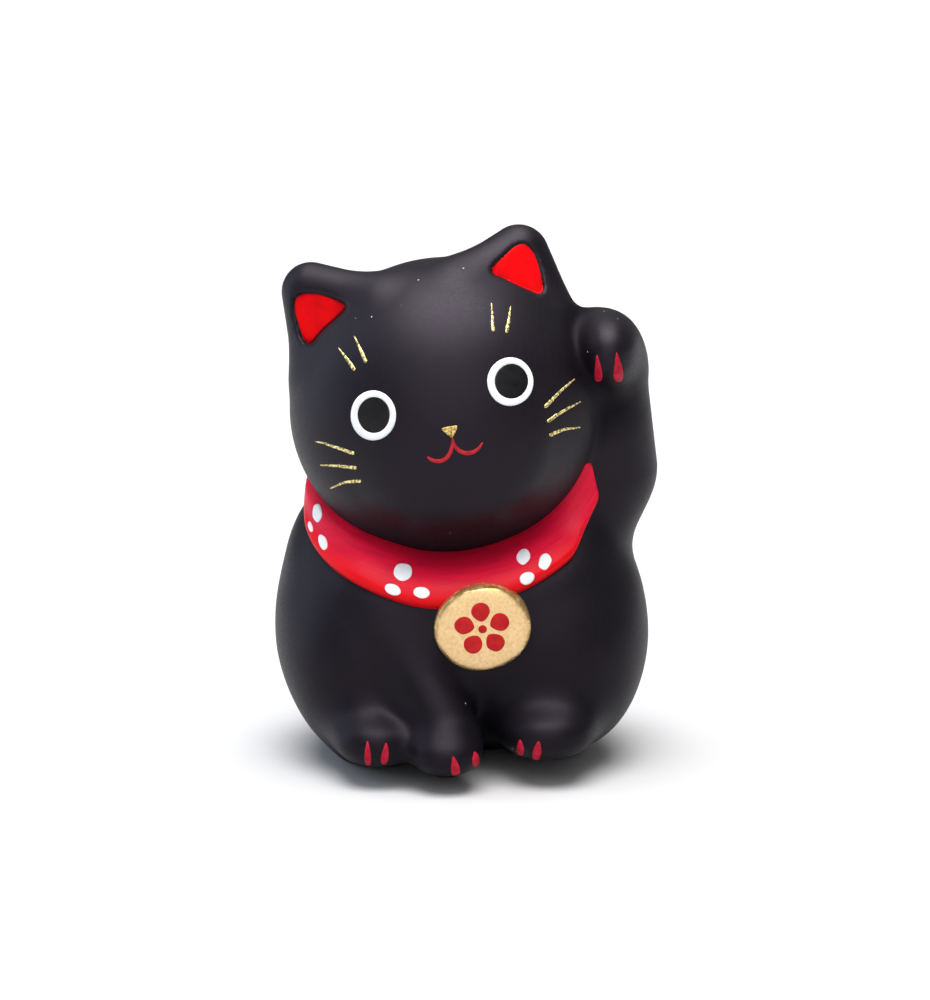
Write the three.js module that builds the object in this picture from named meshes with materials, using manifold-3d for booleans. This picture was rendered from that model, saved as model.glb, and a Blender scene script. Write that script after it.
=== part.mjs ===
// A small seated cat of slip-cast stoneware, one forepaw raised beside its head, matte black over the whole
// body, with a red relief collar, a gilt medallion hung at the throat, and the eyes, nose, mouth, brows,
// whiskers, claws and collar dots laid on by hand in thick enamel.
// Millimetres, +Z up, the face looks along -Y. The cat's left is the viewer's right.
import * as THREE from 'three';
import Module from 'manifold-3d';

// ------------------------------------------------------------------ driving dimensions (mm)
// Ellipsoids: centre, half axes, tilt about x, y, z in degrees, roundness exponent.
const HEAD = { c: [-2.796, -5.599, 50.319], r: [21.676, 19.6, 20.734], tilt: [0, -10.6, 0], n: 2.0 };
const MUZZLE = { c: [-0.9, -18.9, 45.2], r: [9.5, 4.0, 7.0], tilt: [0, -13, 0], n: 2.0 };
const BELLY = { c: [-0.724, 1.29, 19.902], r: [26.188, 22.137, 18.857], tilt: [0, -1.6, 0], n: 2.25 };
const SHOULDERS = { c: [-1.826, 1.435, 32.964], r: [21.781, 19.574, 13.645], tilt: [0, -1.5, 0], n: 2.15 };
const HAUNCH_L = { c: [-14.047, -7.583, 13.488], r: [9.904, 12.49, 13.119], tilt: [0.0, -8.1, 0.1], n: 2.1 };
const HAUNCH_R = { c: [13.856, -7.025, 14.595], r: [10.387, 12.616, 12.661], tilt: [0.0, 2.9, -0.1], n: 2.1 };
const FOOT_L = { c: [-12.045, -19.298, 6.229], r: [5.979, 6.893, 3.852], tilt: [-0.0, 0.2, 0.0], n: 2.1 };
const FOOT_R = { c: [11.321, -18.617, 7.072], r: [6.578, 6.994, 3.948], tilt: [-0.0, -1.2, 0.0], n: 2.1 };
const FORE_PAW = { c: [-2.608, -24.142, 5.192], r: [4.861, 4.998, 3.008], tilt: [-0.0, 0.3, 0.0], n: 2.1 };
const TAIL = { c: [7, 19.5, 8.5], r: [5, 4.2, 4.6], tilt: [0, 0, 0], n: 2.0 };
const RAISED_PAW = { c: [19.55, -9.0, 58.6], r: [4.4, 7.6, 5.0], tilt: [0, 0, 0], n: 2.1 };
// Round cones: end points and end radii.
const FORELEG = { a: [-12.2, -11.8, 25.5], b: [-2.594, -21.799, 7.612], ra: 5.6, rb: 4.369 };
const RAISED_ARM = { a: [17.037, 0.3, 40.852], b: [16.351, -2.0, 53.718], ra: 10.169, rb: 9.207, flat: [0, -1, 0], s: 0.9 };
// Ears: a point and the unit axes of the front face, the rounded triangle it is drawn on, its painted hollow.
const EARS = {
  L: {c: [-23.451, -8.6, 65.391], n: [-0.455, -0.889, 0.056], e1: [0.89, -0.456, -0.0], e2: [0.025, 0.049, 0.998], T: [0.274, 1.073], I: [10.879, -0.575], O: [2.465, -9.603], red: [[-0.0, 0.0], [8.05, -0.656], [1.56, -5.855]], ra: 4.152, th: 4.0},
  R: {c: [7.851, -8.0, 73.215], n: [0.362, -0.849, 0.386], e1: [0.92, 0.392, -0.0], e2: [-0.151, 0.355, 0.922], T: [1.126, -0.362], I: [-8.56, -5.341], O: [3.621, -9.411], red: [[0.0, 0.0], [-5.113, -3.646], [1.977, -6.126]], ra: 4.241, th: 4.0},
};
const EAR_HOLLOW = { depth: 0.8, corner: 0.5, lip: 0.7 };
// How widely neighbouring forms melt into each other.
const BLEND = {ear: 3.0, muz: 6.0, haunch: 6.0, foot: 4.5, leg: 2.6, paw: 3.0, shl: 6.0, tail: 3.0, apaw: 6.0, ht: 1.5, at: 6.0, pad: 5.0};
// The body dips towards the head so that the head sits in a shallow bowl: depth and reach by direction.
const BOWL_DEPTH = {front: 7.0, right: 3.0, left: 3.0, back: 12.0};
const BOWL_FILL = {front: 0, right: 0, left: 2.9, back: 0}; // taken back again close to the head
const BOWL_REACH = {front: 10.5, right: 10.5, left: 10.5, back: 20.0};
// Foot pads of the base: centre x, y and half widths x, y; the base itself is the plane z = 0.
const PADS = [[-1, 7.5, 16.5, 9.5], [-12.0, -4.8, 4.2, 6.2], [11.8, -2.2, 4.4, 5.2], [-2.6, -15.4, 2.2, 3.2]];
const PAD_HEIGHT = 2.0;
// The collar follows the head at this width, measured from the chin crease, and stands this proud.
const COLLAR_WIDTH = {front: 9.4, right: 4.1, left: 3.6, back: 5};
const COLLAR_PROUD = 1.1;
const COLLAR_DEEP = 0.7;
// Hollow casting.
const WALL = 3.0;
const DRAIN = { x: -1.0, y: 6.5, r: 4.5 };
const NECK = { x: -3.0, y: -2.0, r: 8.0, z0: 24, z1: 37 };
const GAP = 0.3; // left between neighbouring castings
const ENAMEL = 0.32; // thickness of a stroke of enamel
const LIFT = 0.06; // enamel stands this far off the body so that neighbours stay separate solids
// The marks are laid out on a drawing plane through EYE_TARGET that leans back by EYE_PITCH degrees, and are
// dropped onto the body along lines from a point EYE_DISTANCE in front of it. u runs to the right, v up.
const EYE_TARGET = [0, 0, 36];
const EYE_PITCH = 10;
const EYE_DISTANCE = 520;
const V_TARGET = 35.45;
// The finished figure is moved by this much, so that the origin is under the middle of its box.
const ORIGIN_SHIFT = [-0.1137, 2.945, 0];

// Outlines in (u, v) on the drawing plane.
const EYES = {
  left: { c: [-12.99, 47.43], ring: [3.22, 3.54], pc: [-12.92, 47.49], pupil: [2.27, 2.53] },
  right: { c: [6.42, 52.21], ring: [3.27, 3.44], pc: [6.57, 52.26], pupil: [2.35, 2.45] },
};
const NOSE = [[-3.29, 45.39], [-2.79, 45.75], [-1.12, 45.97], [-1.18, 45.39], [-1.50, 44.62], [-1.88, 44.25], [-2.45, 44.66]];
const MOUTH = [
  { line: [[-5.40, 41.56], [-4.58, 41.06], [-3.57, 40.92], [-2.56, 41.50], [-1.84, 42.65], [-1.70, 43.75]], w: [0.2, 0.5, 0.62, 0.6, 0.5, 0.5] },
  { line: [[-1.26, 43.09], [-0.24, 42.28], [0.91, 42.12], [1.93, 42.65], [2.56, 43.67]], w: [0.5, 0.58, 0.6, 0.5, 0.2] },
];
const BROWS = {
  brow_left_outer: { line: [[-17.99, 57.04], [-16.9, 55.6], [-15.64, 53.81]], w: [0.16, 0.3, 0.46] },
  brow_left_inner: { line: [[-15.67, 58.65], [-14.8, 56.8], [-13.99, 54.86]], w: [0.16, 0.3, 0.46] },
  brow_right_inner: { line: [[3.75, 63.37], [3.86, 61.4], [3.98, 59.33]], w: [0.16, 0.3, 0.46] },
  brow_right_outer: { line: [[6.47, 62.94], [6.2, 61.0], [5.88, 59.06]], w: [0.16, 0.3, 0.46] },
};
const WHISKERS = {
  whisker_left_top: { line: [[-15.62, 41.98], [-18.3, 42.95], [-21.20, 43.72]], w: [0.44, 0.32, 0.16] },
  whisker_left_mid: { line: [[-15.28, 39.95], [-17.8, 40.25], [-20.54, 40.42]], w: [0.44, 0.32, 0.16] },
  whisker_left_low: { line: [[-14.70, 38.11], [-17.29, 37.87], [-19.09, 37.07]], w: [0.44, 0.32, 0.16] },
  whisker_right_top: { line: [[11.23, 48.51], [13.4, 50.6], [15.59, 52.62]], w: [0.44, 0.32, 0.16] },
  whisker_right_mid: { line: [[11.66, 46.50], [14.0, 48.0], [16.43, 49.39]], w: [0.44, 0.32, 0.16] },
  whisker_right_low: { line: [[11.95, 44.53], [13.92, 45.39], [16.37, 45.75]], w: [0.44, 0.32, 0.16] },
};
// Claws: pointed tip, then the two lower corners and the rounded foot.
const CLAWS = {
  claw_raised_inner: { tip: [18.65, 55.92], l: [18.37, 52.73], r: [19.48, 52.73], foot: [18.9, 52.3], on: 'arm' },
  claw_raised_outer: { tip: [21.47, 56.37], l: [21.02, 52.73], r: [22.44, 52.73], foot: [21.7, 52.3], on: 'arm' },
  claw_left_outer: { tip: [-13.80, 1.31], l: [-14.22, -2.0], r: [-13.30, -2.0], foot: [-13.75, -2.2], on: 'body' },
  claw_left_inner: { tip: [-11.25, 0.92], l: [-11.94, -1.85], r: [-10.84, -1.85], foot: [-11.35, -2.1], on: 'body' },
  claw_middle_left: { tip: [-1.69, -0.93], l: [-1.98, -3.25], r: [-0.71, -3.25], foot: [-1.35, -3.4], on: 'body' },
  claw_middle_right: { tip: [1.29, -0.22], l: [1.05, -2.2], r: [2.05, -2.2], foot: [1.6, -2.35], on: 'body' },
  claw_right_inner: { tip: [7.80, 1.46], l: [7.34, -0.66], r: [8.36, -0.66], foot: [7.85, -0.85], on: 'body' },
  claw_right_outer: { tip: [10.41, 1.23], l: [9.55, -1.25], r: [10.78, -1.25], foot: [10.15, -1.4], on: 'body' },
};
// Collar dots: centre u, v, half widths, tilt in degrees.
const DOTS = {
  dot_left_upper: [-20.92, 33.62, 0.62, 1.30, 6],
  dot_left_middle: [-21.85, 31.62, 0.30, 0.72, 18],
  dot_left_lower: [-20.14, 29.47, 0.57, 1.09, 20],
  dot_centre_top: [-8.81, 25.25, 1.28, 1.27, 0],
  dot_centre_left: [-10.23, 22.76, 1.20, 0.75, -18],
  dot_centre_right: [-6.18, 22.32, 1.16, 0.81, -10],
  dot_right_inner: [8.26, 27.45, 0.92, 1.13, -14],
  dot_right_outer: [11.30, 26.71, 0.85, 1.16, -14],
  dot_right_lower: [8.78, 24.36, 1.09, 0.85, 16],
};
// Medallion: outline on the drawing plane, tilt in degrees, and the plane its face lies in.
const MEDALLION = { c: [2.49, 17.14], r: [6.93, 5.95], tilt: 10, face: [-22.4, 3], dome: 0.45, bevel: 0.8 };
const BLOSSOM = { petals: 5, outer: 4.1, inner: 2.9, eye: 0.85, thick: 0.25 };

// ------------------------------------------------------------------ the forms, as distance fields
const rad = Math.PI / 180;
const smin = (a, b, k) => { const h = Math.max(k - Math.abs(a - b), 0) / k; return Math.min(a, b) - h * h * k * 0.25; };
const smax = (a, b, k) => -smin(-a, -b, k);
function rotation([x, y, z]) {
  const m = new THREE.Matrix4().makeRotationFromEuler(new THREE.Euler(x * rad, y * rad, z * rad, 'ZYX')).elements;
  return [m[0], m[1], m[2], m[4], m[5], m[6], m[8], m[9], m[10]]; // columns
}
function ellipsoid({ c, r, tilt, n }) {
  const m = rotation(tilt);
  return (x, y, z) => {
    x -= c[0]; y -= c[1]; z -= c[2];
    const a = Math.abs(x * m[0] + y * m[1] + z * m[2]) / r[0] + 1e-9;
    const b = Math.abs(x * m[3] + y * m[4] + z * m[5]) / r[1] + 1e-9;
    const d = Math.abs(x * m[6] + y * m[7] + z * m[8]) / r[2] + 1e-9;
    const k0 = (a ** n + b ** n + d ** n) ** (1 / n);
    const s = k0 ** (1 - n);
    return (k0 - 1) / Math.hypot((a ** (n - 1) / r[0]) * s, (b ** (n - 1) / r[1]) * s, (d ** (n - 1) / r[2]) * s);
  };
}
function roundCone({ a, b, ra, rb, flat, s }) {
  let ab = [b[0] - a[0], b[1] - a[1], b[2] - a[2]];
  const w = flat ? 1 / s - 1 : 0, n = flat || [0, 0, 0];
  const dn = ab[0] * n[0] + ab[1] * n[1] + ab[2] * n[2];
  ab = ab.map((v, i) => v + dn * w * n[i]);
  const ll = ab[0] ** 2 + ab[1] ** 2 + ab[2] ** 2;
  return (x, y, z) => {
    let q = [x - a[0], y - a[1], z - a[2]];
    const d = q[0] * n[0] + q[1] * n[1] + q[2] * n[2];
    q = q.map((v, i) => v + d * w * n[i]);
    const t = Math.min(1, Math.max(0, (q[0] * ab[0] + q[1] * ab[1] + q[2] * ab[2]) / ll));
    return Math.hypot(q[0] - t * ab[0], q[1] - t * ab[1], q[2] - t * ab[2]) - (ra + t * (rb - ra));
  };
}
function triangle(px, py, T) { // signed distance to a triangle in its plane
  let d2 = 1e9, side = 1e9;
  const o = (T[1][0] - T[0][0]) * (T[0][1] - T[2][1]) - (T[1][1] - T[0][1]) * (T[0][0] - T[2][0]);
  const s = Math.sign(o);
  for (let i = 0; i < 3; i++) {
    const A = T[i], B = T[(i + 1) % 3], ex = B[0] - A[0], ey = B[1] - A[1], vx = px - A[0], vy = py - A[1];
    const t = Math.min(1, Math.max(0, (vx * ex + vy * ey) / (ex * ex + ey * ey)));
    d2 = Math.min(d2, (vx - t * ex) ** 2 + (vy - t * ey) ** 2);
    side = Math.min(side, s * (vx * ey - vy * ex));
  }
  return -Math.sqrt(d2) * Math.sign(side);
}
const dot3 = (x, y, z, v) => x * v[0] + y * v[1] + z * v[2];
function ear(E) {
  const m = [0, 1].map((i) => (E.T[i] * 0.8 + E.I[i] + E.O[i]) / 2.8);
  return (x, y, z) => {
    x -= E.c[0]; y -= E.c[1]; z -= E.c[2];
    const u = dot3(x, y, z, E.e1), v = dot3(x, y, z, E.e2), w = dot3(x, y, z, E.n) + E.th;
    const d = triangle(u, v, [E.T, E.I, E.O]);
    const plate = Math.hypot(Math.max(d, 0), (w * E.ra) / E.th) - E.ra;
    const root = (Math.hypot((u - m[0]) / 5.6, (v - m[1]) / 5.6, (w + 4.5) / 6.5) - 1) * 5.6;
    return smin(plate, root, 3);
  };
}
function earHollow(E) {
  return (x, y, z) => {
    x -= E.c[0]; y -= E.c[1]; z -= E.c[2];
    const d = triangle(dot3(x, y, z, E.e1), dot3(x, y, z, E.e2), E.red) - EAR_HOLLOW.corner;
    return smax(d, -(dot3(x, y, z, E.n) + EAR_HOLLOW.depth), 0.3);
  };
}
const skull = ellipsoid({ ...HEAD }), muzzle = ellipsoid(MUZZLE);
const ears = [ear(EARS.L), ear(EARS.R)], hollows = [earHollow(EARS.L), earHollow(EARS.R)];
function headPlain(x, y, z) {
  let h = smin(skull(x, y, z), muzzle(x, y, z), BLEND.muz);
  for (const e of ears) h = smin(h, e(x, y, z), BLEND.ear);
  return h;
}
function head(x, y, z) {
  let h = headPlain(x, y, z);
  for (const e of hollows) h = smax(h, -e(x, y, z), EAR_HOLLOW.lip);
  return h;
}
function byDirection(x, y, A) {
  x += 1.2; y -= 1;
  const r = Math.hypot(x, y) + 1e-6, c = -y / r, q = Math.min(1, Math.max(0, 0.5 - 0.8 * (x / r)));
  const side = A.right + (A.left - A.right) * q * q * (3 - 2 * q);
  return side + (A.front - side) * Math.max(c, 0) ** 1.5 + (A.back - side) * Math.max(-c, 0) ** 1.5;
}
const belly = ellipsoid(BELLY), shoulders = ellipsoid(SHOULDERS), haunches = [ellipsoid(HAUNCH_L), ellipsoid(HAUNCH_R)];
const feet = [ellipsoid(FOOT_L), ellipsoid(FOOT_R)], foreleg = roundCone(FORELEG), forePaw = ellipsoid(FORE_PAW), tail = ellipsoid(TAIL);
function pads(x, y, z) {
  let f = null;
  for (const [cx, cy, rx, ry] of PADS) {
    const d = (Math.hypot((x - cx) / rx, (y - cy) / ry) - 1) * Math.min(rx, ry);
    const g = smax(d, z - PAD_HEIGHT, 1);
    f = f === null ? g : smin(f, g, 2);
  }
  return f;
}
function torsoOpen(x, y, z) { // without the flat of the base
  const t = Math.min(1.6, Math.max(0, 1 - skull(x, y, z) / byDirection(x, y, BOWL_REACH)));
  const near = Math.min(1, Math.max(0, (t - 0.62) / 0.26)), fill = byDirection(x, y, BOWL_FILL) * near * near * (3 - 2 * near);
  let f = smin(belly(x, y, z), shoulders(x, y, z), BLEND.shl) + (byDirection(x, y, BOWL_DEPTH) - fill) * t * t;
  for (const h of haunches) f = smin(f, h(x, y, z), BLEND.haunch);
  for (const h of feet) f = smin(f, h(x, y, z), BLEND.foot);
  f = smin(f, smin(foreleg(x, y, z), forePaw(x, y, z), BLEND.paw), BLEND.leg);
  f = smin(f, tail(x, y, z), BLEND.tail);
  f = smin(f, pads(x, y, z), BLEND.pad);
  return f;
}
const torso = (x, y, z) => smax(torsoOpen(x, y, z), -z, 1.2);
const limb = roundCone(RAISED_ARM), raisedPaw = ellipsoid(RAISED_PAW);
const arm = (x, y, z) => smin(limb(x, y, z), raisedPaw(x, y, z), BLEND.apaw);
const body = (x, y, z) => smin(torso(x, y, z), arm(x, y, z), BLEND.at);
// The raised arm as cast: with the fillet it makes against the shoulder.
const armCast = (x, y, z) => smax(body(x, y, z), arm(x, y, z) - 1.2, 1.0);

// ------------------------------------------------------------------ meshing
const wasm = await Module();
wasm.setup();
const { Manifold, Mesh } = wasm;
const solid = (pos, tri) => new Manifold(new Mesh({ numProp: 3, vertProperties: new Float32Array(pos), triVerts: new Uint32Array(tri) }));
function directions(n) { // an evenly split icosahedron, shared vertices
  const g = new THREE.IcosahedronGeometry(1, n - 1).getAttribute('position');
  const seen = new Map(), dir = [], tri = [];
  for (let i = 0; i < g.count; i++) {
    const k = [g.getX(i), g.getY(i), g.getZ(i)].map((v) => Math.round(v * 1e5)).join();
    if (!seen.has(k)) { seen.set(k, dir.length); dir.push([g.getX(i), g.getY(i), g.getZ(i)]); }
    tri.push(seen.get(k));
  }
  return { dir, tri };
}
function shell(centre, n, field, level = 0) { // the closed surface field = level, seen from its centre
  const { dir, tri } = directions(n), pos = [];
  for (const d of dir) {
    const at = (r) => field(centre[0] + d[0] * r, centre[1] + d[1] * r, centre[2] + d[2] * r) - level;
    let lo = 0.5, hi = 0.5;
    while (at(hi) < 0 && hi < 80) { lo = hi; hi += 0.6; }
    for (let i = 0; i < 26; i++) { const m = (lo + hi) / 2; if (at(m) < 0) lo = m; else hi = m; }
    pos.push(centre[0] + d[0] * hi, centre[1] + d[1] * hi, centre[2] + d[2] * hi);
  }
  return solid(pos, tri);
}
function nets([x0, x1], [y0, y1], [z0, z1], h, field, level = 0) { // the closed surface field = level, on a grid
  const nx = Math.ceil((x1 - x0) / h) + 1, ny = Math.ceil((y1 - y0) / h) + 1, nz = Math.ceil((z1 - z0) / h) + 1;
  for (const shift of [0, 0.17, 0.31, 0.44, 0.59, 0.73]) {
    const ox = x0 + shift * h, oy = y0 + shift * 0.7 * h, oz = z0 + shift * 1.3 * h;
    const id = (i, j, k) => (k * ny + j) * nx + i, val = new Float64Array(nx * ny * nz);
    for (let k = 0; k < nz; k++) for (let j = 0; j < ny; j++) for (let i = 0; i < nx; i++)
      val[id(i, j, k)] = field(ox + i * h, oy + j * h, oz + k * h) - level;
    const cell = new Map(), pos = [], tri = [];
    for (let k = 0; k < nz - 1; k++) for (let j = 0; j < ny - 1; j++) for (let i = 0; i < nx - 1; i++) {
      let n = 0, s = [0, 0, 0];
      const corner = (c) => [i + (c & 1), j + ((c >> 1) & 1), k + (c >> 2)];
      for (let a = 0; a < 8; a++) for (const bit of [1, 2, 4]) {
        if (a & bit) continue;
        const A = corner(a), B = corner(a | bit), va = val[id(...A)], vb = val[id(...B)];
        if (va < 0 === vb < 0) continue;
        const t = va / (va - vb);
        n++;
        s = s.map((q, m) => q + A[m] + (B[m] - A[m]) * t);
      }
      if (!n) continue;
      let p = [ox + (s[0] / n) * h, oy + (s[1] / n) * h, oz + (s[2] / n) * h];
      const p0 = p;
      for (let it = 0; it < 3; it++) {
        const f = field(...p) - level, e = 0.02, g = [0, 1, 2].map((m) => { const a = [...p]; a[m] += e; return (field(...a) - level - f) / e; });
        const l2 = Math.max(g[0] ** 2 + g[1] ** 2 + g[2] ** 2, 0.2);
        p = p.map((q, m) => q - (g[m] * f) / l2);
      }
      if (Math.hypot(p[0] - p0[0], p[1] - p0[1], p[2] - p0[2]) > 0.7 * h) p = p0;
      cell.set(id(i, j, k), pos.length / 3);
      pos.push(...p);
    }
    const far = (a, b) => (pos[a * 3] - pos[b * 3]) ** 2 + (pos[a * 3 + 1] - pos[b * 3 + 1]) ** 2 + (pos[a * 3 + 2] - pos[b * 3 + 2]) ** 2;
    const axes = [[[1, 0, 0], [0, 1, 0], [0, 0, 1]], [[0, 1, 0], [0, 0, 1], [1, 0, 0]], [[0, 0, 1], [1, 0, 0], [0, 1, 0]]];
    for (let k = 1; k < nz - 1; k++) for (let j = 1; j < ny - 1; j++) for (let i = 1; i < nx - 1; i++)
      for (const [d, u, v] of axes) {
        const a = val[id(i, j, k)], b = val[id(i + d[0], j + d[1], k + d[2])];
        if (a < 0 === b < 0) continue;
        const c = (m, n) => cell.get(id(i - m * u[0] - n * v[0], j - m * u[1] - n * v[1], k - m * u[2] - n * v[2]));
        let q = [c(0, 0), c(1, 0), c(1, 1), c(0, 1)];
        if (a >= 0) q = [q[0], q[3], q[2], q[1]];
        if (far(q[0], q[2]) < far(q[1], q[3])) tri.push(q[0], q[1], q[2], q[0], q[2], q[3]);
        else tri.push(q[1], q[2], q[3], q[1], q[3], q[0]);
      }
    try {
      const m = solid(pos, tri);
      if (m.volume() > 0) return m;
    } catch (e) { /* two sheets met in one cell: move the grid a little */ }
  }
  throw new Error('no clean grid');
}
function geometrySolid(g) {
  const p = g.getAttribute('position'), seen = new Map(), pos = [], tri = [];
  const at = (i) => {
    const k = [p.getX(i), p.getY(i), p.getZ(i)].map((v) => Math.round(v * 1e4)).join();
    if (!seen.has(k)) { seen.set(k, pos.length / 3); pos.push(p.getX(i), p.getY(i), p.getZ(i)); }
    return seen.get(k);
  };
  const n = g.index ? g.index.count : p.count;
  for (let i = 0; i < n; i += 3) {
    const t = [0, 1, 2].map((j) => at(g.index ? g.index.getX(i + j) : i + j));
    if (t[0] !== t[1] && t[1] !== t[2] && t[0] !== t[2]) tri.push(...t);
  }
  return solid(pos, tri);
}
const pipe = (x, y, r, z0, z1, n = 32) => geometrySolid(new THREE.CylinderGeometry(r, r, z1 - z0, n).rotateX(Math.PI / 2).translate(x, y, (z0 + z1) / 2));
function biggest(m) {
  const parts = m.decompose();
  return parts.sort((a, b) => b.volume() - a.volume())[0];
}

// ------------------------------------------------------------------ the drawing plane
const back = [0, -Math.cos(EYE_PITCH * rad), Math.sin(EYE_PITCH * rad)], up = [0, Math.sin(EYE_PITCH * rad), Math.cos(EYE_PITCH * rad)];
const eye = EYE_TARGET.map((v, i) => v + back[i] * EYE_DISTANCE);
function drop(u, v, field) {
  if (v > 90) throw new Error('off the figure'); // the point of the surface field = 0 under (u, v), and its outward normal
  const p = EYE_TARGET.map((t, i) => t + (i === 0 ? u : 0) + up[i] * (v - V_TARGET));
  let d = p.map((t, i) => t - eye[i]);
  const l = Math.hypot(...d);
  d = d.map((t) => t / l);
  let t = EYE_DISTANCE - 48, best = 1e9, bt = t;
  for (let i = 0; i < 200; i++) {
    const f = field(eye[0] + d[0] * t, eye[1] + d[1] * t, eye[2] + d[2] * t);
    if (Math.abs(f) < best) { best = Math.abs(f); bt = t; }
    t += Math.min(4, Math.abs(f) < 1e-5 ? f : Math.max(f * 0.6, f > 0 ? 0.02 : f * 0.6));
    if (Math.abs(f) < 1e-5 || t > EYE_DISTANCE + 30) break;
  }
  const e = 0.03;
  const slope = (q) => [0, 1, 2].map((i) => { const a = [...q], b = [...q]; a[i] += e; b[i] -= e; return (field(...a) - field(...b)) / (2 * e); });
  const s = [eye[0] + d[0] * bt, eye[1] + d[1] * bt, eye[2] + d[2] * bt];
  if (best > 1e-4) return drop(u, v + 0.08, field); // just below the outline: come up to the surface
  const g = slope(s);
  const gl = Math.hypot(...g);
  return { p: s, n: g.map((x) => x / gl), d };
}
// A patch is a grid of rows (each a closed or open list of [u, v]); it is laid on the surface and thickened.
function patch(rows, field, { closed, cap = false, lift = LIFT, thick = ENAMEL }) {
  const nr = rows.length, nc = rows[0].length, pos = [], tri = [];
  for (const side of [lift + thick, lift])
    for (const row of rows) for (const [u, v] of row) {
      const { p, n } = drop(u, v, field);
      pos.push(p[0] + n[0] * side, p[1] + n[1] * side, p[2] + n[2] * side);
    }
  const at = (s, r, c) => s * nr * nc + r * nc + (c % nc);
  const quad = (a, b, c, d) => tri.push(a, b, c, a, c, d);
  const cols = closed ? nc : nc - 1;
  for (let r = 0; r + 1 < nr; r++) for (let c = 0; c < cols; c++) {
    quad(at(0, r, c), at(0, r, c + 1), at(0, r + 1, c + 1), at(0, r + 1, c));
    quad(at(1, r, c), at(1, r + 1, c), at(1, r + 1, c + 1), at(1, r, c + 1));
  }
  const edge = (list) => { for (let i = 0; i + 1 < list.length; i++) { const [a, b] = [list[i], list[i + 1]]; quad(a[0], a[1], b[1], b[0]); } };
  const pair = (r, c) => [at(0, r, c), at(1, r, c)];
  if (closed) {
    const loop = (r) => [...Array(nc + 1).keys()].map((c) => pair(r, c));
    edge(loop(0));
    if (cap) { // the last row closes on one point
      const [u, v] = rows[nr - 1].reduce((a, b) => [a[0] + b[0] / nc, a[1] + b[1] / nc], [0, 0]);
      const { p, n } = drop(u, v, field);
      for (const side of [lift + thick, lift]) pos.push(p[0] + n[0] * side, p[1] + n[1] * side, p[2] + n[2] * side);
      const top = 2 * nr * nc, low = top + 1;
      for (let c = 0; c < nc; c++) {
        tri.push(at(0, nr - 1, c), at(0, nr - 1, c + 1), top);
        tri.push(at(1, nr - 1, c + 1), at(1, nr - 1, c), low);
      }
    } else edge(loop(nr - 1).reverse());
  } else {
    edge([...Array(nc).keys()].map((c) => pair(0, c)));
    edge([...Array(nr).keys()].map((r) => pair(r, nc - 1)));
    edge([...Array(nc).keys()].reverse().map((c) => pair(nr - 1, c)));
    edge([...Array(nr).keys()].reverse().map((r) => pair(r, 0)));
  }
  let m = solid(pos, tri);
  if (m.volume() < 0) { for (let i = 0; i < tri.length; i += 3) [tri[i + 1], tri[i + 2]] = [tri[i + 2], tri[i + 1]]; m = solid(pos, tri); }
  return m;
}
const oval = (c, r, n, tilt = 0, k = 1) => [...Array(n).keys()].map((i) => {
  const a = (i / n) * 2 * Math.PI, x = Math.cos(a) * r[0] * k, y = Math.sin(a) * r[1] * k, t = tilt * rad;
  return [c[0] + x * Math.cos(t) - y * Math.sin(t), c[1] + x * Math.sin(t) + y * Math.cos(t)];
});
function filled(outline, field, rings, opt = {}) { // a filled outline, seen from its middle
  const n = outline.length, m = outline.reduce((a, b) => [a[0] + b[0] / n, a[1] + b[1] / n], [0, 0]);
  const rows = rings.map((k) => outline.map(([u, v]) => [m[0] + (u - m[0]) * k, m[1] + (v - m[1]) * k]));
  return patch(rows, field, { closed: true, cap: true, ...opt });
}
function spline(line, w, n) {
  const c = new THREE.CatmullRomCurve3(line.map(([u, v], i) => new THREE.Vector3(u, v, w[i])), false, 'centripetal');
  return c.getPoints(n);
}
function stroke({ line, w }, field, n, opt = {}) { // a brush stroke of changing width
  const p = spline(line, w, n), rows = [];
  for (let i = 0; i < p.length; i++) {
    const a = p[Math.max(0, i - 1)], b = p[Math.min(p.length - 1, i + 1)];
    const tx = b.x - a.x, ty = b.y - a.y, l = Math.hypot(tx, ty), h = Math.max(p[i].z, 0.12) / 2;
    rows.push([[p[i].x + (ty / l) * h, p[i].y - (tx / l) * h], [p[i].x - (ty / l) * h, p[i].y + (tx / l) * h]]);
  }
  return patch(rows, field, { closed: false, ...opt });
}

// ------------------------------------------------------------------ castings
const TORSO_EYE = [-1, 1, 17], HEAD_EYE = [-2.8, -5.6, 50.3], ARM_EYE = [16.8, -5, 49];
const box = (x0, x1, y0, y1, z0, z1) => geometrySolid(new THREE.BoxGeometry(x1 - x0, y1 - y0, z1 - z0).translate((x0 + x1) / 2, (y0 + y1) / 2, (z0 + z1) / 2));
function earOutline(E, off, n = 30) { // the rounded triangle of the hollow, grown by off
  const pts = [], m = [0, 1].map((i) => (E.red[0][i] + E.red[1][i] + E.red[2][i]) / 3);
  for (let i = 0; i < n; i++) {
    const a = (i / n) * 2 * Math.PI;
    let lo = 0, hi = 12;
    for (let j = 0; j < 30; j++) { const q = (lo + hi) / 2; if (triangle(m[0] + Math.cos(a) * q, m[1] + Math.sin(a) * q, E.red) < off) lo = q; else hi = q; }
    pts.push([m[0] + Math.cos(a) * lo, m[1] + Math.sin(a) * lo]);
  }
  return { pts, m };
}
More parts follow.
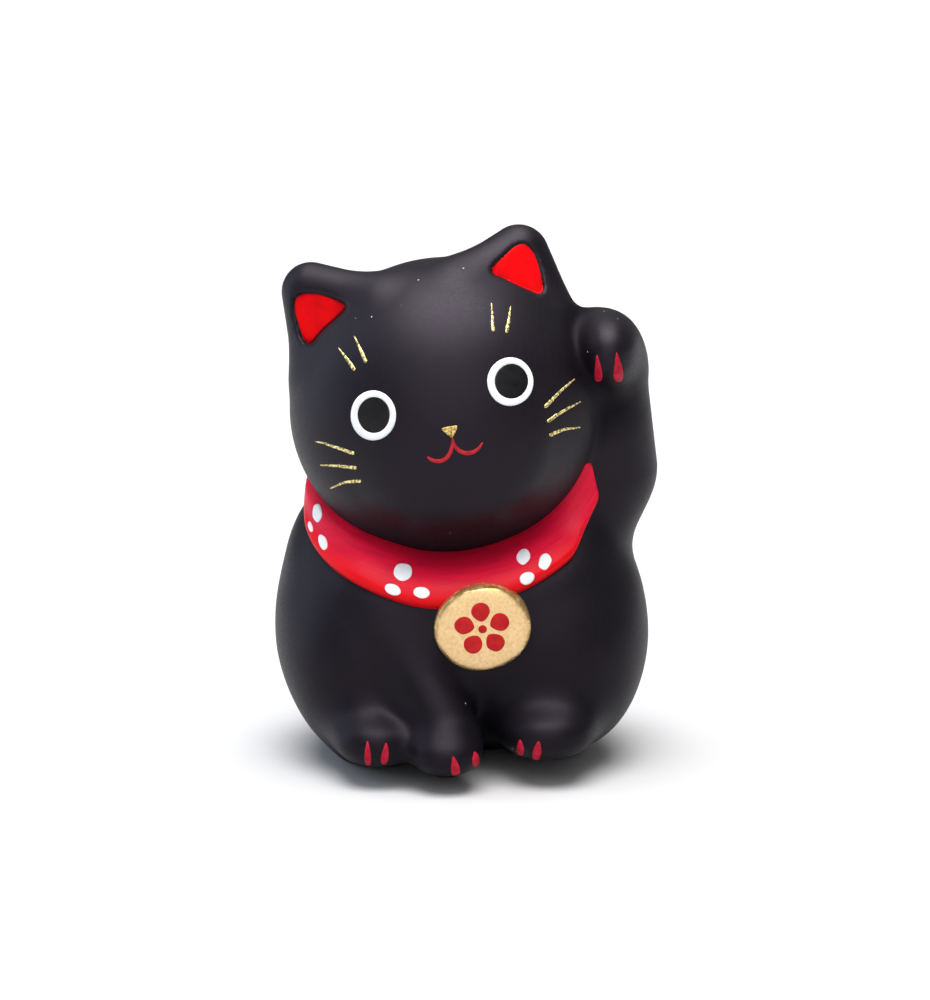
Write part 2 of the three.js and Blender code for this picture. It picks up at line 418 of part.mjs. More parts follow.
function earPlug(E, lowOff, w0, topOff, w1) { // a slab on the face of the ear, from depth w0 to w1
  const pos = [], tri = [];
  for (const [off, w] of [[topOff, w1], [lowOff, w0]]) {
    const { pts, m } = earOutline(E, off);
    for (const [u, v] of [...pts, m]) pos.push(...[0, 1, 2].map((i) => E.c[i] + E.e1[i] * u + E.e2[i] * v + E.n[i] * w));
  }
  const N = 30;
  for (let i = 0; i < N; i++) {
    const j = (i + 1) % N;
    tri.push(i, j, N, N + 1 + j, N + 1 + i, 2 * N + 1, i, N + 1 + i, N + 1 + j, i, N + 1 + j, j);
  }
  let s = solid(pos, tri);
  if (s.volume() < 0) { for (let i = 0; i < tri.length; i += 3) [tri[i + 1], tri[i + 2]] = [tri[i + 2], tri[i + 1]]; s = solid(pos, tri); }
  return s;
}
let headWhole = shell(HEAD_EYE, 13, headPlain);
for (const E of Object.values(EARS)) headWhole = headWhole.subtract(earPlug(E, EAR_HOLLOW.corner - 0.1, -EAR_HOLLOW.depth, EAR_HOLLOW.corner + 0.5, 2.2));
const headOut = shell(HEAD_EYE, 13, headPlain, GAP + 0.02);
const headIn = shell(HEAD_EYE, 6, headPlain, -WALL);
const RANGE = [[-31, 31], [-33, 29], [-6, 50]];
const stump = (x, y, z) => smax(torsoOpen(x, y, z), -3 - z, 0.5);
const torsoWhole = nets(...RANGE, 2.05, stump).subtract(box(-60, 60, -60, 60, -20, 0));
const torsoOut = nets(...RANGE, 2.05, stump, GAP);
const torsoIn = shell(TORSO_EYE, 6, torso, -WALL);
const headCasting = biggest(headWhole.subtract(headIn).subtract(pipe(NECK.x, NECK.y, NECK.r, NECK.z0, NECK.z1, 24)));
const torsoCasting = biggest(torsoWhole.subtract(torsoIn).subtract(headOut).subtract(pipe(DRAIN.x, DRAIN.y, DRAIN.r, -5, 8)));
const armCasting = biggest(shell(ARM_EYE, 10, armCast).subtract(torsoOut).subtract(headOut));

// ------------------------------------------------------------------ collar band
const AXIS = [-1.2, 1.0];
const COLLAR_FROM = -26, COLLAR_TO = -341, COLLAR_STEPS = 63;
// The pointed front end beside the raised arm: two planes seen from the front, as a point (x, z) and a normal.
const COLLAR_TIP = [{ c: [17.58, 42.9], n: [0.974, 0.225] }, { c: [18.69, 37.9], n: [0.896, -0.444] }];
const TIP_BACK = 6; // the planes stop this far back, behind the arm
function collarPoint(deg, reach, off) { // where the body, raised by off, lies this far from the skull
  const cs = Math.cos(deg * rad), sn = Math.sin(deg * rad);
  // the middle of the head in this half plane
  const rho0 = (HEAD.c[0] - AXIS[0]) * cs + (HEAD.c[1] - AXIS[1]) * sn, z0 = HEAD.c[2];
  const on = (phi) => {
    const dr = Math.cos(phi), dz = Math.sin(phi);
    let lo = 5, hi = 60;
    for (let i = 0; i < 26; i++) {
      const m = (lo + hi) / 2, r = rho0 + dr * m;
      if (skull(AXIS[0] + cs * r, AXIS[1] + sn * r, z0 + dz * m) < reach) lo = m; else hi = m;
    }
    const r = rho0 + dr * lo;
    return [AXIS[0] + cs * r, AXIS[1] + sn * r, z0 + dz * lo];
  };
  let lo = -1.45, hi = -1.45;
  while (body(...on(hi)) < off && hi < 0.6) { lo = hi; hi += 0.06; }
  for (let i = 0; i < 22; i++) { const m = (lo + hi) / 2; if (body(...on(m)) < off) lo = m; else hi = m; }
  return on((lo + hi) / 2);
}
function collar() {
  const prof = [];
  // across the band: [share of the width, height above the body]
  for (const [s, h] of [[0, 1], [0.2, 1], [0.4, 1], [0.6, 1], [0.78, 1], [0.92, 0.86], [1, 0.42]]) prof.push([s, h * COLLAR_PROUD]);
  for (const s of [1, 0.75, 0.5, 0.25, 0]) prof.push([s, 0.16]);
  const n = prof.length, pos = [], tri = [];
  for (let i = 0; i <= COLLAR_STEPS; i++) {
    const deg = COLLAR_FROM + ((COLLAR_TO - COLLAR_FROM) * i) / COLLAR_STEPS;
    const w = byDirection(AXIS[0] + Math.cos(deg * rad), AXIS[1] + Math.sin(deg * rad), COLLAR_WIDTH);
    for (const [s, h] of prof) pos.push(...collarPoint(deg, 0.2 + s * (w - 0.2), h));
  }
  for (let i = 0; i < COLLAR_STEPS; i++) for (let j = 0; j < n; j++) {
    const a = i * n + j, b = i * n + ((j + 1) % n), c = a + n, d = b + n;
    tri.push(a, b, d, a, d, c);
  }
  const capAt = (base, flip) => {
    // the section is a strip: join outer and inner rows
    const outer = [0, 1, 2, 3, 4, 5, 6], inner = [11, 10, 9, 8, 7];
    const ring = [];
    let a = 0, b = 0;
    while (a < outer.length - 1 || b < inner.length - 1) {
      const ta = a / (outer.length - 1), tb = b / (inner.length - 1);
      if (b >= inner.length - 1 || (a < outer.length - 1 && ta <= tb)) { ring.push([outer[a], outer[a + 1], inner[b]]); a++; }
      else { ring.push([outer[a], inner[b + 1], inner[b]]); b++; }
    }
    for (const [p, q, r] of ring) flip ? tri.push(base + p, base + r, base + q) : tri.push(base + p, base + q, base + r);
  };
  capAt(0, true);
  capAt(COLLAR_STEPS * n, false);
  let m = solid(pos, tri);
  if (m.volume() < 0) { for (let i = 0; i < tri.length; i += 3) [tri[i + 1], tri[i + 2]] = [tri[i + 2], tri[i + 1]]; m = solid(pos, tri); }
  return m;
}
const tipCut = ({ c, n }) => geometrySolid(new THREE.BoxGeometry(30, 40, 60).translate(15, 0, 0).rotateY(-Math.atan2(n[1], n[0])).translate(c[0], TIP_BACK - 20, c[1]));
const clipTop = box(8, 40, -40, TIP_BACK, 43, 80).add(box(8, 40, TIP_BACK, 40, 44, 80));
const collarBand = biggest(collar().subtract(tipCut(COLLAR_TIP[0])).subtract(tipCut(COLLAR_TIP[1])).subtract(clipTop).subtract(armCasting).subtract(torsoCasting).subtract(headCasting));

// ------------------------------------------------------------------ enamel
const RED = 'red', GOLD = 'gold', WHITE = 'white', BLACK = 'black', CLAW = 'claw';
const nodes = [];
const add = (name, m, material) => nodes.push({ name, m, material });
add('torso_casting', torsoCasting, 'glaze');
add('head_casting', headCasting, 'glaze');
add('raised_arm_casting', armCasting, 'glaze');
add('collar_band', collarBand, RED);
const collarTop = (x, y, z) => body(x, y, z) - COLLAR_PROUD;
for (const [k, E] of Object.entries(EARS))
  add(k === 'L' ? 'ear_enamel_left' : 'ear_enamel_right', earPlug(E, 0.25, -EAR_HOLLOW.depth + 0.08, 0.25, -EAR_HOLLOW.depth + 0.08 + ENAMEL), RED);
for (const [k, e] of Object.entries(EYES)) {
  const inner = oval(e.pc, e.pupil, 28, 0, 1.0).map(([u, v]) => [e.pc[0] + (u - e.pc[0]) * 1.02, e.pc[1] + (v - e.pc[1]) * 1.02]);
  add(`eye_ring_${k}`, patch([oval(e.c, e.ring, 28), inner], head, { closed: true }), WHITE);
  add(`pupil_${k}`, filled(oval(e.pc, e.pupil, 24, 0, 0.98), head, [1, 0.5], { thick: ENAMEL * 0.8 }), BLACK);
}
add('nose', filled(NOSE, head, [1], {}), GOLD);
{
  const [a, b] = MOUTH;
  const left = stroke(a, head, 14), right = stroke({ line: [[-1.72, 43.6], ...b.line], w: [0.3, ...b.w] }, head, 12);
  add('mouth', biggest(left.add(right)), CLAW);
}
for (const [k, s] of Object.entries(BROWS)) add(k, stroke(s, head, 5), GOLD);
for (const [k, s] of Object.entries(WHISKERS)) add(k, stroke(s, head, 6), GOLD);
for (const [k, c] of Object.entries(CLAWS)) {
  const mid = (a, b, t) => [a[0] + (b[0] - a[0]) * t, a[1] + (b[1] - a[1]) * t];
  const lm = mid(c.tip, c.l, 0.55), rm = mid(c.tip, c.r, 0.55);
  const outline = [c.tip, [lm[0] - 0.05, lm[1]], c.l, mid(c.l, c.foot, 0.6), c.foot, mid(c.r, c.foot, 0.6), c.r, [rm[0] + 0.05, rm[1]]];
  const claw = filled(outline, c.on === 'arm' ? armCast : torso, [1, 0.45], { lift: 0.2 });
  add(k, biggest(claw.subtract(c.on === 'arm' ? armCasting : torsoCasting)), CLAW);
}
for (const [k, [u, v, a, b, t]] of Object.entries(DOTS)) add(k, filled(oval([u, v], [a, b], 14, t), collarTop, [1], { lift: 0.1, thick: 0.25 }), WHITE);

// ------------------------------------------------------------------ medallion
// The face is a plane that leans with the belly; the disc swells a little towards its middle.
const faceNormal = [0, -Math.cos(MEDALLION.face[1] * rad), -Math.sin(MEDALLION.face[1] * rad)];
const facePoint = drop(MEDALLION.c[0], MEDALLION.c[1], (x, y, z) => MEDALLION.face[0] - y).p;
const facePlane = (x, y, z) => dot3(x - facePoint[0], y - facePoint[1], z - facePoint[2], faceNormal);
const dome = (k) => MEDALLION.dome * (1 - k * k);
function disc() {
  const N = 40, ks = [1, 0.93, 0.86, 0.6, 0.3], pos = [], tri = [];
  for (const k of ks) for (const [u, v] of oval(MEDALLION.c, MEDALLION.r, N, MEDALLION.tilt, k)) {
    const { p } = drop(u, v, facePlane);
    const h = k === 1 ? -MEDALLION.bevel * 0.6 : k === 0.93 ? -0.12 : dome(k);
    pos.push(...p.map((x, i) => x + faceNormal[i] * h));
  }
  for (const k of [1, 0.5]) for (const [u, v] of oval(MEDALLION.c, MEDALLION.r, N, MEDALLION.tilt, k)) {
    const { p } = drop(u, v, facePlane);
    pos.push(p[0], -16, p[2] + (p[1] + 16) * 0.0);
  }
  const rows = ks.length + 2, top = rows * N, at = (r, c) => r * N + (c % N);
  const m = drop(MEDALLION.c[0], MEDALLION.c[1], facePlane).p;
  pos.push(...m.map((x, i) => x + faceNormal[i] * dome(0)), m[0], -16, m[2]);
  for (let c = 0; c < N; c++) {
    for (let r = 0; r + 1 < ks.length; r++) tri.push(at(r, c), at(r, c + 1), at(r + 1, c + 1), at(r, c), at(r + 1, c + 1), at(r + 1, c));
    tri.push(at(ks.length - 1, c), at(ks.length - 1, c + 1), top);
    tri.push(at(0, c), at(ks.length, c + 1), at(0, c + 1), at(0, c), at(ks.length, c), at(ks.length, c + 1));
    tri.push(at(ks.length, c), at(ks.length + 1, c + 1), at(ks.length, c + 1), at(ks.length, c), at(ks.length + 1, c), at(ks.length + 1, c + 1));
    tri.push(at(ks.length + 1, c + 1), at(ks.length + 1, c), top + 1);
  }
  let s = solid(pos, tri);
  if (s.volume() < 0) { for (let i = 0; i < tri.length; i += 3) [tri[i + 1], tri[i + 2]] = [tri[i + 2], tri[i + 1]]; s = solid(pos, tri); }
  return s;
}
const bodyOut = shell(TORSO_EYE, 14, torso, 0.3), collarOut = collar();
const medallion = biggest(disc().subtract(bodyOut).subtract(collarOut).subtract(collarBand));
add('medallion_disc', medallion, GOLD);
{
  const b = BLOSSOM, N = 60;
  const ring = (f) => [...Array(N).keys()].map((i) => {
    const a = (i / N) * 2 * Math.PI, lobe = Math.abs(Math.cos((b.petals * (a - Math.PI / 2)) / 2)) ** 0.6;
    const r = f(lobe);
    return [MEDALLION.c[0] + Math.cos(a) * r, MEDALLION.c[1] + Math.sin(a) * r * 0.94];
  });
  const face = (x, y, z) => {
    const q = Math.hypot((x - facePoint[0]) / MEDALLION.r[0], (z - facePoint[2]) / (MEDALLION.r[1] + 0.1));
    return facePlane(x, y, z) - dome(Math.min(q, 1));
  };
  const rows = [ring((l) => b.inner + (b.outer - b.inner) * l), ring((l) => (b.inner + (b.outer - b.inner) * l) * 0.55), ring(() => b.eye)];
  add('medallion_blossom', patch(rows, face, { closed: true, lift: 0.09, thick: b.thick }), CLAW);
}

// ------------------------------------------------------------------ materials and the figure
const material = {
  glaze: { color: [44, 40, 46], roughness: 0.62, metalness: 0 },
  red: { color: [196, 20, 34], roughness: 0.5, metalness: 0 },
  gold: { color: [205, 170, 110], roughness: 0.42, metalness: 0.75 },
  white: { color: [240, 240, 240], roughness: 0.45, metalness: 0 },
  black: { color: [18, 16, 19], roughness: 0.35, metalness: 0 },
  claw: { color: [150, 38, 48], roughness: 0.5, metalness: 0 },
};
const figure = new THREE.Group();
figure.name = 'beckoning_cat';
for (const { name, m, material: key } of nodes) {
  const mesh = m.getMesh(), g = new THREE.BufferGeometry(), v = mesh.vertProperties, n = mesh.numProp;
  const pos = new Float32Array((v.length / n) * 3);
  for (let i = 0; i < pos.length / 3; i++) for (let j = 0; j < 3; j++) pos[i * 3 + j] = v[i * n + j] + ORIGIN_SHIFT[j];
  g.setAttribute('position', new THREE.BufferAttribute(pos, 3));
  g.setIndex(new THREE.BufferAttribute(new Uint32Array(mesh.triVerts), 1));
  g.computeVertexNormals();
  const { color, roughness, metalness } = material[key];
  const mat = new THREE.MeshStandardMaterial({ roughness, metalness });
  mat.color.setRGB(...color.map((c) => c / 255), THREE.SRGBColorSpace);
  mat.name = key;
  const out = new THREE.Mesh(g, mat);
  out.name = name;
  figure.add(out);
}
export default figure;
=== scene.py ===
"""Looks of the seated beckoning cat: one seamless matt black ceramic skin, the red relief collar, the gilt
medallion, and every mark laid on by brush as its own thin raised layer of enamel.
The forms are worked out in millimetres in the same frame as the castings and moved by SHIFT at the end."""
import math
import bpy
import numpy as np
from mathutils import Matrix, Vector


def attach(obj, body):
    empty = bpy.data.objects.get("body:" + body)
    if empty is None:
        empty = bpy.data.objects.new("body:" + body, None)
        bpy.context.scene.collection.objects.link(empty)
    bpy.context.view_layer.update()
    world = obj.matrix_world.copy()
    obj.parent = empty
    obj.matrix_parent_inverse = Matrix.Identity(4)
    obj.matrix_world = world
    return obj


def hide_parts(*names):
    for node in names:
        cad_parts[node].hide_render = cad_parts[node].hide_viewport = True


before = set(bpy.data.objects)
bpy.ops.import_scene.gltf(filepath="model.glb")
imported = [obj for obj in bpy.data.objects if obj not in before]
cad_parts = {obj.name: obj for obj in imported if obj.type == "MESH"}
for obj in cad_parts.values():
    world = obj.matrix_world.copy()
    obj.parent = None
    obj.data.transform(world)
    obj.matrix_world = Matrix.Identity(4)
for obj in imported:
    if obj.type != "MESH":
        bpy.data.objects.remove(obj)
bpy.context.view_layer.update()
SHIFT = np.array([-0.1137, 2.945, 0.0])
MM = 0.001
GRID = 0.43

# ------------------------------------------------------------------ the forms (mm)
HEAD = dict(c=[-2.796, -5.599, 50.319], r=[21.676, 19.6, 20.734], a=[0, -10.6, 0], n=2.0)
MUZZLE = dict(c=[-0.9, -18.9, 45.2], r=[9.5, 4.0, 7.0], a=[0, -13, 0], n=2.0)
BELLY = dict(c=[-0.724, 1.29, 19.902], r=[26.188, 22.137, 18.857], a=[0, -1.6, 0], n=2.25)
SHOULDERS = dict(c=[-1.826, 1.435, 32.964], r=[21.781, 19.574, 13.645], a=[0, -1.5, 0], n=2.15)
HAUNCHES = [dict(c=[-14.047, -7.583, 13.488], r=[9.904, 12.49, 13.119], a=[0, -8.1, 0.1], n=2.1),
            dict(c=[13.856, -7.025, 14.595], r=[10.387, 12.616, 12.661], a=[0, 2.9, -0.1], n=2.1)]
FEET = [dict(c=[-12.045, -19.298, 6.229], r=[5.979, 6.893, 3.852], a=[0, 0.2, 0], n=2.1),
        dict(c=[11.321, -18.617, 7.072], r=[6.578, 6.994, 3.948], a=[0, -1.2, 0], n=2.1)]
FORE_PAW = dict(c=[-2.608, -24.142, 5.192], r=[4.861, 4.998, 3.008], a=[0, 0.3, 0], n=2.1)
TAIL = dict(c=[7, 19.5, 8.5], r=[5, 4.2, 4.6], a=[0, 0, 0], n=2.0)
RAISED_PAW = dict(c=[19.55, -9.0, 58.6], r=[4.4, 7.6, 5.0], a=[0, 0, 0], n=2.1)
FORELEG = dict(a=[-12.2, -11.8, 25.5], b=[-2.594, -21.799, 7.612], ra=5.6, rb=4.369, s=1.0)
RAISED_ARM = dict(a=[17.037, 0.3, 40.852], b=[16.351, -2.0, 53.718], ra=10.169, rb=9.207, s=0.9)
EARS = {
    "left": dict(c=[-23.451, -8.6, 65.391], n=[-0.455, -0.889, 0.056], e1=[0.89, -0.456, 0.0], e2=[0.025, 0.049, 0.998],
                 T=[0.274, 1.073], I=[10.879, -0.575], O=[2.465, -9.603], red=[[0.0, 0.0], [8.05, -0.656], [1.56, -5.855]], ra=4.152, th=4.0),
    "right": dict(c=[7.851, -8.0, 73.215], n=[0.362, -0.849, 0.386], e1=[0.92, 0.392, 0.0], e2=[-0.151, 0.355, 0.922],
                  T=[1.126, -0.362], I=[-8.56, -5.341], O=[3.621, -9.411], red=[[0.0, 0.0], [-5.113, -3.646], [1.977, -6.126]], ra=4.241, th=4.0),
}
EAR_HOLLOW = {"left": dict(depth=0.7, grow=0.2, lip=0.6), "right": dict(depth=0.45, grow=0.02, lip=0.5)}
BOWL_DEPTH = (7.0, 3.0, 3.0, 12.0)       # front, right, left, back
BOWL_FILL = (0.0, 0.0, 2.9, 0.0)         # taken back again close to the head
BOWL_REACH = (10.5, 10.5, 10.5, 20.0)
COLLAR_WIDTH = (9.4, 4.1, 3.6, 5.0)
COLLAR_PROUD = 1.1
COLLAR_TIP = (((17.58, 42.9), (0.974, 0.225)), ((18.69, 37.9), (0.896, -0.444)))
TIP_BACK = 6.0
PADS = [[-1, 7.5, 16.5, 9.5], [-12.0, -4.8, 4.2, 6.2], [11.8, -2.2, 4.4, 5.2], [-2.6, -15.4, 2.2, 3.2]]
PAD_HEIGHT = 2.0
DRAIN = (-1.0, 6.5, 4.5)


# The red of the ears, in (u, v) on the drawing plane.
EAR_PAINT = {
    "left": [[-24.079, 63.495], [-23.796, 64.204], [-22.946, 64.628], [-21.006, 64.628], [-19.122, 64.09], [-17.28, 63.269], [-16.997, 62.716],
             [-18.173, 61.413], [-20.113, 59.671], [-21.105, 58.538], [-21.856, 57.688], [-22.38, 57.73], [-23.003, 58.58], [-23.654, 60.662], [-24.051, 62.121]],
    "right": [[3.867, 67.957], [3.966, 68.453], [4.674, 69.204], [5.907, 70.393], [7.082, 71.385], [8.173, 71.711], [8.924, 71.427], [9.773, 70.393],
              [10.439, 68.736], [10.864, 66.852], [11.034, 65.337], [10.482, 64.671], [9.448, 65.053], [7.323, 66.002], [5.382, 66.895], [4.108, 67.461]],
}
PITCH, EYE, LEVEL = math.radians(10), 520.0, 35.45
BACK = np.array([0, -math.cos(PITCH), math.sin(PITCH)])
UP = np.array([0, math.sin(PITCH), math.cos(PITCH)])
TARGET = np.array([0.0, 0.0, 36.0])


def smin(a, b, k):
    h = np.maximum(k - np.abs(a - b), 0) / k
    return np.minimum(a, b) - h * h * k * 0.25


def smax(a, b, k):
    return -smin(-a, -b, k)


def rotation(rx, ry, rz):
    rx, ry, rz = map(math.radians, (rx, ry, rz))
    X = np.array([[1, 0, 0], [0, math.cos(rx), -math.sin(rx)], [0, math.sin(rx), math.cos(rx)]])
    Y = np.array([[math.cos(ry), 0, math.sin(ry)], [0, 1, 0], [-math.sin(ry), 0, math.cos(ry)]])
    Z = np.array([[math.cos(rz), -math.sin(rz), 0], [math.sin(rz), math.cos(rz), 0], [0, 0, 1]])
    return Z @ Y @ X


def ellipsoid(p, e):
    r, n = np.array(e["r"]), e["n"]
    a = np.abs(((p - np.array(e["c"])) @ rotation(*e["a"])) / r) + 1e-9
    if n == 2.0:
        k0 = np.sqrt((a * a).sum(-1))
        g = a / r / k0[:, None]
    else:
        an = a ** (n - 1)
        k0 = (an * a).sum(-1) ** (1 / n)
        g = an / r * (k0 ** (1 - n))[:, None]
    return (k0 - 1) / np.sqrt((g * g).sum(-1))


def cone(p, e):
    a, b = np.array(e["a"], float), np.array(e["b"], float)
    ab, q = b - a, p - a
    if e["s"] != 1.0:
        w = 1 / e["s"] - 1
        q = q.copy()
        q[:, 1] += q[:, 1] * w
        ab[1] += ab[1] * w
    t = np.clip((q @ ab) / (ab @ ab), 0, 1)
    return np.sqrt(((q - t[:, None] * ab) ** 2).sum(-1)) - (e["ra"] + t * (e["rb"] - e["ra"]))


def triangle(q, T):
    T = [np.array(v, float) for v in T]
    e = [T[(i + 1) % 3] - T[i] for i in range(3)]
    s = np.sign(e[0][0] * e[2][1] - e[0][1] * e[2][0])
    d2 = ds = None
    for ei, oi in zip(e, T):
        v = q - oi
        t = np.clip((v @ ei) / (ei @ ei), 0, 1)
        w = v - t[:, None] * ei
        dd, cr = (w * w).sum(-1), s * (v[:, 0] * ei[1] - v[:, 1] * ei[0])
        d2 = dd if d2 is None else np.minimum(d2, dd)
        ds = cr if ds is None else np.minimum(ds, cr)
    return -np.sqrt(d2) * np.sign(ds)


def ear_coords(p, E):
    q = p - np.array(E["c"])
    return np.stack([q @ np.array(E["e1"]), q @ np.array(E["e2"])], -1), q @ np.array(E["n"])


def ear(p, E):
    uv, w = ear_coords(p, E)
    w = w + E["th"]
    plate = np.sqrt(np.maximum(triangle(uv, [E["T"], E["I"], E["O"]]), 0) ** 2 + (w * E["ra"] / E["th"]) ** 2) - E["ra"]
    m = (np.array(E["T"]) * 0.8 + np.array(E["I"]) + np.array(E["O"])) / 2.8
    root = (np.sqrt(((uv[:, 0] - m[0]) / 5.6) ** 2 + ((uv[:, 1] - m[1]) / 5.6) ** 2 + ((w + 4.5) / 6.5) ** 2) - 1) * 5.6
    return smin(plate, root, 3.0)


def smooth_loop(points, n):
    """A closed smooth outline through the points, evenly spaced."""
    P = np.array(points, float)
    m = len(P)
    out = []
    for i in range(m):
        p0, p1, p2, p3 = P[i - 1], P[i], P[(i + 1) % m], P[(i + 2) % m]
        for t in np.linspace(0, 1, 12, endpoint=False):
            out.append(0.5 * (2 * p1 + (p2 - p0) * t + (2 * p0 - 5 * p1 + 4 * p2 - p3) * t * t + (3 * p1 - p0 - 3 * p2 + p3) * t ** 3))
    return resample(np.array(out), n, True)


def resample(P, n, closed):
    Q = np.vstack([P, P[:1]]) if closed else P
    s = np.concatenate([[0], np.cumsum(np.linalg.norm(np.diff(Q, axis=0), axis=1))])
    t = np.linspace(0, s[-1], n, endpoint=not closed)
    return np.stack([np.interp(t, s, Q[:, i]) for i in range(Q.shape[1])], 1)


EAR_LOOP = {side: smooth_loop(outline, 36) for side, outline in EAR_PAINT.items()}


def outline_distance(q, P):
    """Signed distance from q to the closed outline P, negative inside."""
    d2, inside = np.full(len(q), 1e9), np.zeros(len(q), bool)
    for i in range(len(P)):
        a, b = P[i - 1], P[i]
        e, v = b - a, q - a
        t = np.clip((v @ e) / (e @ e), 0, 1)
        w = v - t[:, None] * e
        d2 = np.minimum(d2, (w * w).sum(1))
        cross = (a[1] > q[:, 1]) != (b[1] > q[:, 1])
        at = a[0] + (q[:, 1] - a[1]) * (e[0] / (e[1] if abs(e[1]) > 1e-9 else 1e-9))
        inside ^= cross & (q[:, 0] < at)
    return np.where(inside, -1, 1) * np.sqrt(d2)


def ear_hollow(p, side):
    """The shallow recess that the red of the ear lies in: it follows the painted outline."""
    E = EARS[side]
    uv, w = ear_coords(p, E)
    out = np.full(len(p), 6.0)
    at = (np.abs(w) < 5) & (np.abs(uv - np.mean(E["red"], axis=0)).max(1) < 9)
    if at.any():
        q = p[at] - (TARGET + BACK * EYE)
        k = EYE / -(q @ BACK)
        flat = np.stack([q[:, 0] * k, (q @ UP) * k + LEVEL], 1)
        out[at] = smax(outline_distance(flat, EAR_LOOP[side]) - EAR_HOLLOW[side]["grow"], -(w[at] + EAR_HOLLOW[side]["depth"]), 0.3)
    return out


def skull(p):
    return ellipsoid(p, HEAD)


def head(p, hollow=True, s=None):
    h = smin(skull(p) if s is None else s, ellipsoid(p, MUZZLE), 6.0)
    for E in EARS.values():
        h = smin(h, ear(p, E), 3.0)
    if hollow:
        for side in EARS:
            h = smax(h, -ear_hollow(p, side), EAR_HOLLOW[side]["lip"])
    return h


def by_direction(p, A):
    x, y = p[:, 0] + 1.2, p[:, 1] - 1.0
    r = np.sqrt(x * x + y * y) + 1e-6
    c, q = -y / r, np.clip(0.5 - 0.8 * (x / r), 0, 1)
    side = A[1] + (A[2] - A[1]) * q * q * (3 - 2 * q)
    return side + (A[0] - side) * np.maximum(c, 0) ** 1.5 + (A[3] - side) * np.maximum(-c, 0) ** 1.5


def torso(p, s=None):
    s = skull(p) if s is None else s
    t = np.clip(1 - s / by_direction(p, BOWL_REACH), 0, 1.6)
    near = np.clip((t - 0.62) / 0.26, 0, 1)
    dip = by_direction(p, BOWL_DEPTH) - by_direction(p, BOWL_FILL) * near * near * (3 - 2 * near)
    f = smin(ellipsoid(p, BELLY), ellipsoid(p, SHOULDERS), 6.0) + dip * t * t
    for e in HAUNCHES:
        f = smin(f, ellipsoid(p, e), 6.0)
    for e in FEET:
        f = smin(f, ellipsoid(p, e), 4.5)
    f = smin(f, smin(cone(p, FORELEG), ellipsoid(p, FORE_PAW), 3.0), 2.6)
    f = smin(f, ellipsoid(p, TAIL), 3.0)
    pad = None
    for cx, cy, rx, ry in PADS:
        d = (np.sqrt(((p[:, 0] - cx) / rx) ** 2 + ((p[:, 1] - cy) / ry) ** 2) - 1) * min(rx, ry)
        g = smax(d, p[:, 2] - PAD_HEIGHT, 1.0)
        pad = g if pad is None else smin(pad, g, 2.0)
    f = smin(f, pad, 5.0)
    return smax(f, -p[:, 2], 1.2)


def arm(p):
    return smin(cone(p, RAISED_ARM), ellipsoid(p, RAISED_PAW), 6.0)


def body(p, s=None):
    return smin(torso(p, s), arm(p), 6.0)


def outside(p):
    """The whole seamless figure; the raised paw melts more softly into the side of the head."""
    s = skull(p)
    k = 1.5 + 0.9 * np.clip((p[:, 2] - 47) / 6, 0, 1) * np.clip((p[:, 0] - 6) / 4, 0, 1)
    return smin(body(p, s), head(p, True, s), k)


def casting(p):
    """The figure with the drain hole in its base and the hollow behind it."""
    x, y, r = DRAIN
    hole = np.maximum(np.sqrt((p[:, 0] - x) ** 2 + (p[:, 1] - y) ** 2) - r, np.abs(p[:, 2]) - 8)
    bulb = ellipsoid(p, dict(c=[-1, 2.5, 18.5], r=[18.5, 15.5, 14.5], a=[0, 0, 0], n=2.0))
    return smax(outside(p), -smin(hole, bulb, 1.0), 0.7)


def collar_top(p):
    return body(p) - COLLAR_PROUD


def collar(p):
    """A band that follows the crease under the head, with soft edges and a pointed front end beside the arm."""
    s = skull(p)
    b = body(p, s)
    f = smax(b - COLLAR_PROUD, s - by_direction(p, COLLAR_WIDTH), 1.1)
    for (cx, cz), (nx, nz) in COLLAR_TIP:
        f = smax(f, np.where(p[:, 1] < TIP_BACK, (p[:, 0] - cx) * nx + (p[:, 2] - cz) * nz, -5.0), 0.6)
    f = smax(f, np.where(p[:, 0] > 8, p[:, 2] - np.where(p[:, 1] < TIP_BACK, 43.0, 44.0), -5.0), 0.6)
    return np.maximum(f, np.maximum(-(b + 0.7), -(s + 0.6)))


def slope(field, p, e=0.03):
    g = np.empty_like(p)
    for i in range(3):
        d = np.zeros(3)
        d[i] = e
        g[:, i] = (field(p + d) - field(p - d)) / (2 * e)
    return g


# ------------------------------------------------------------------ surfaces from a field
def shifted(a, i, j, k):
    n = a.shape
    return a[i:n[0] - 1 + i, j:n[1] - 1 + j, k:n[2] - 1 + k]


CORNERS = [(i, j, k) for i in (0, 1) for j in (0, 1) for k in (0, 1)]


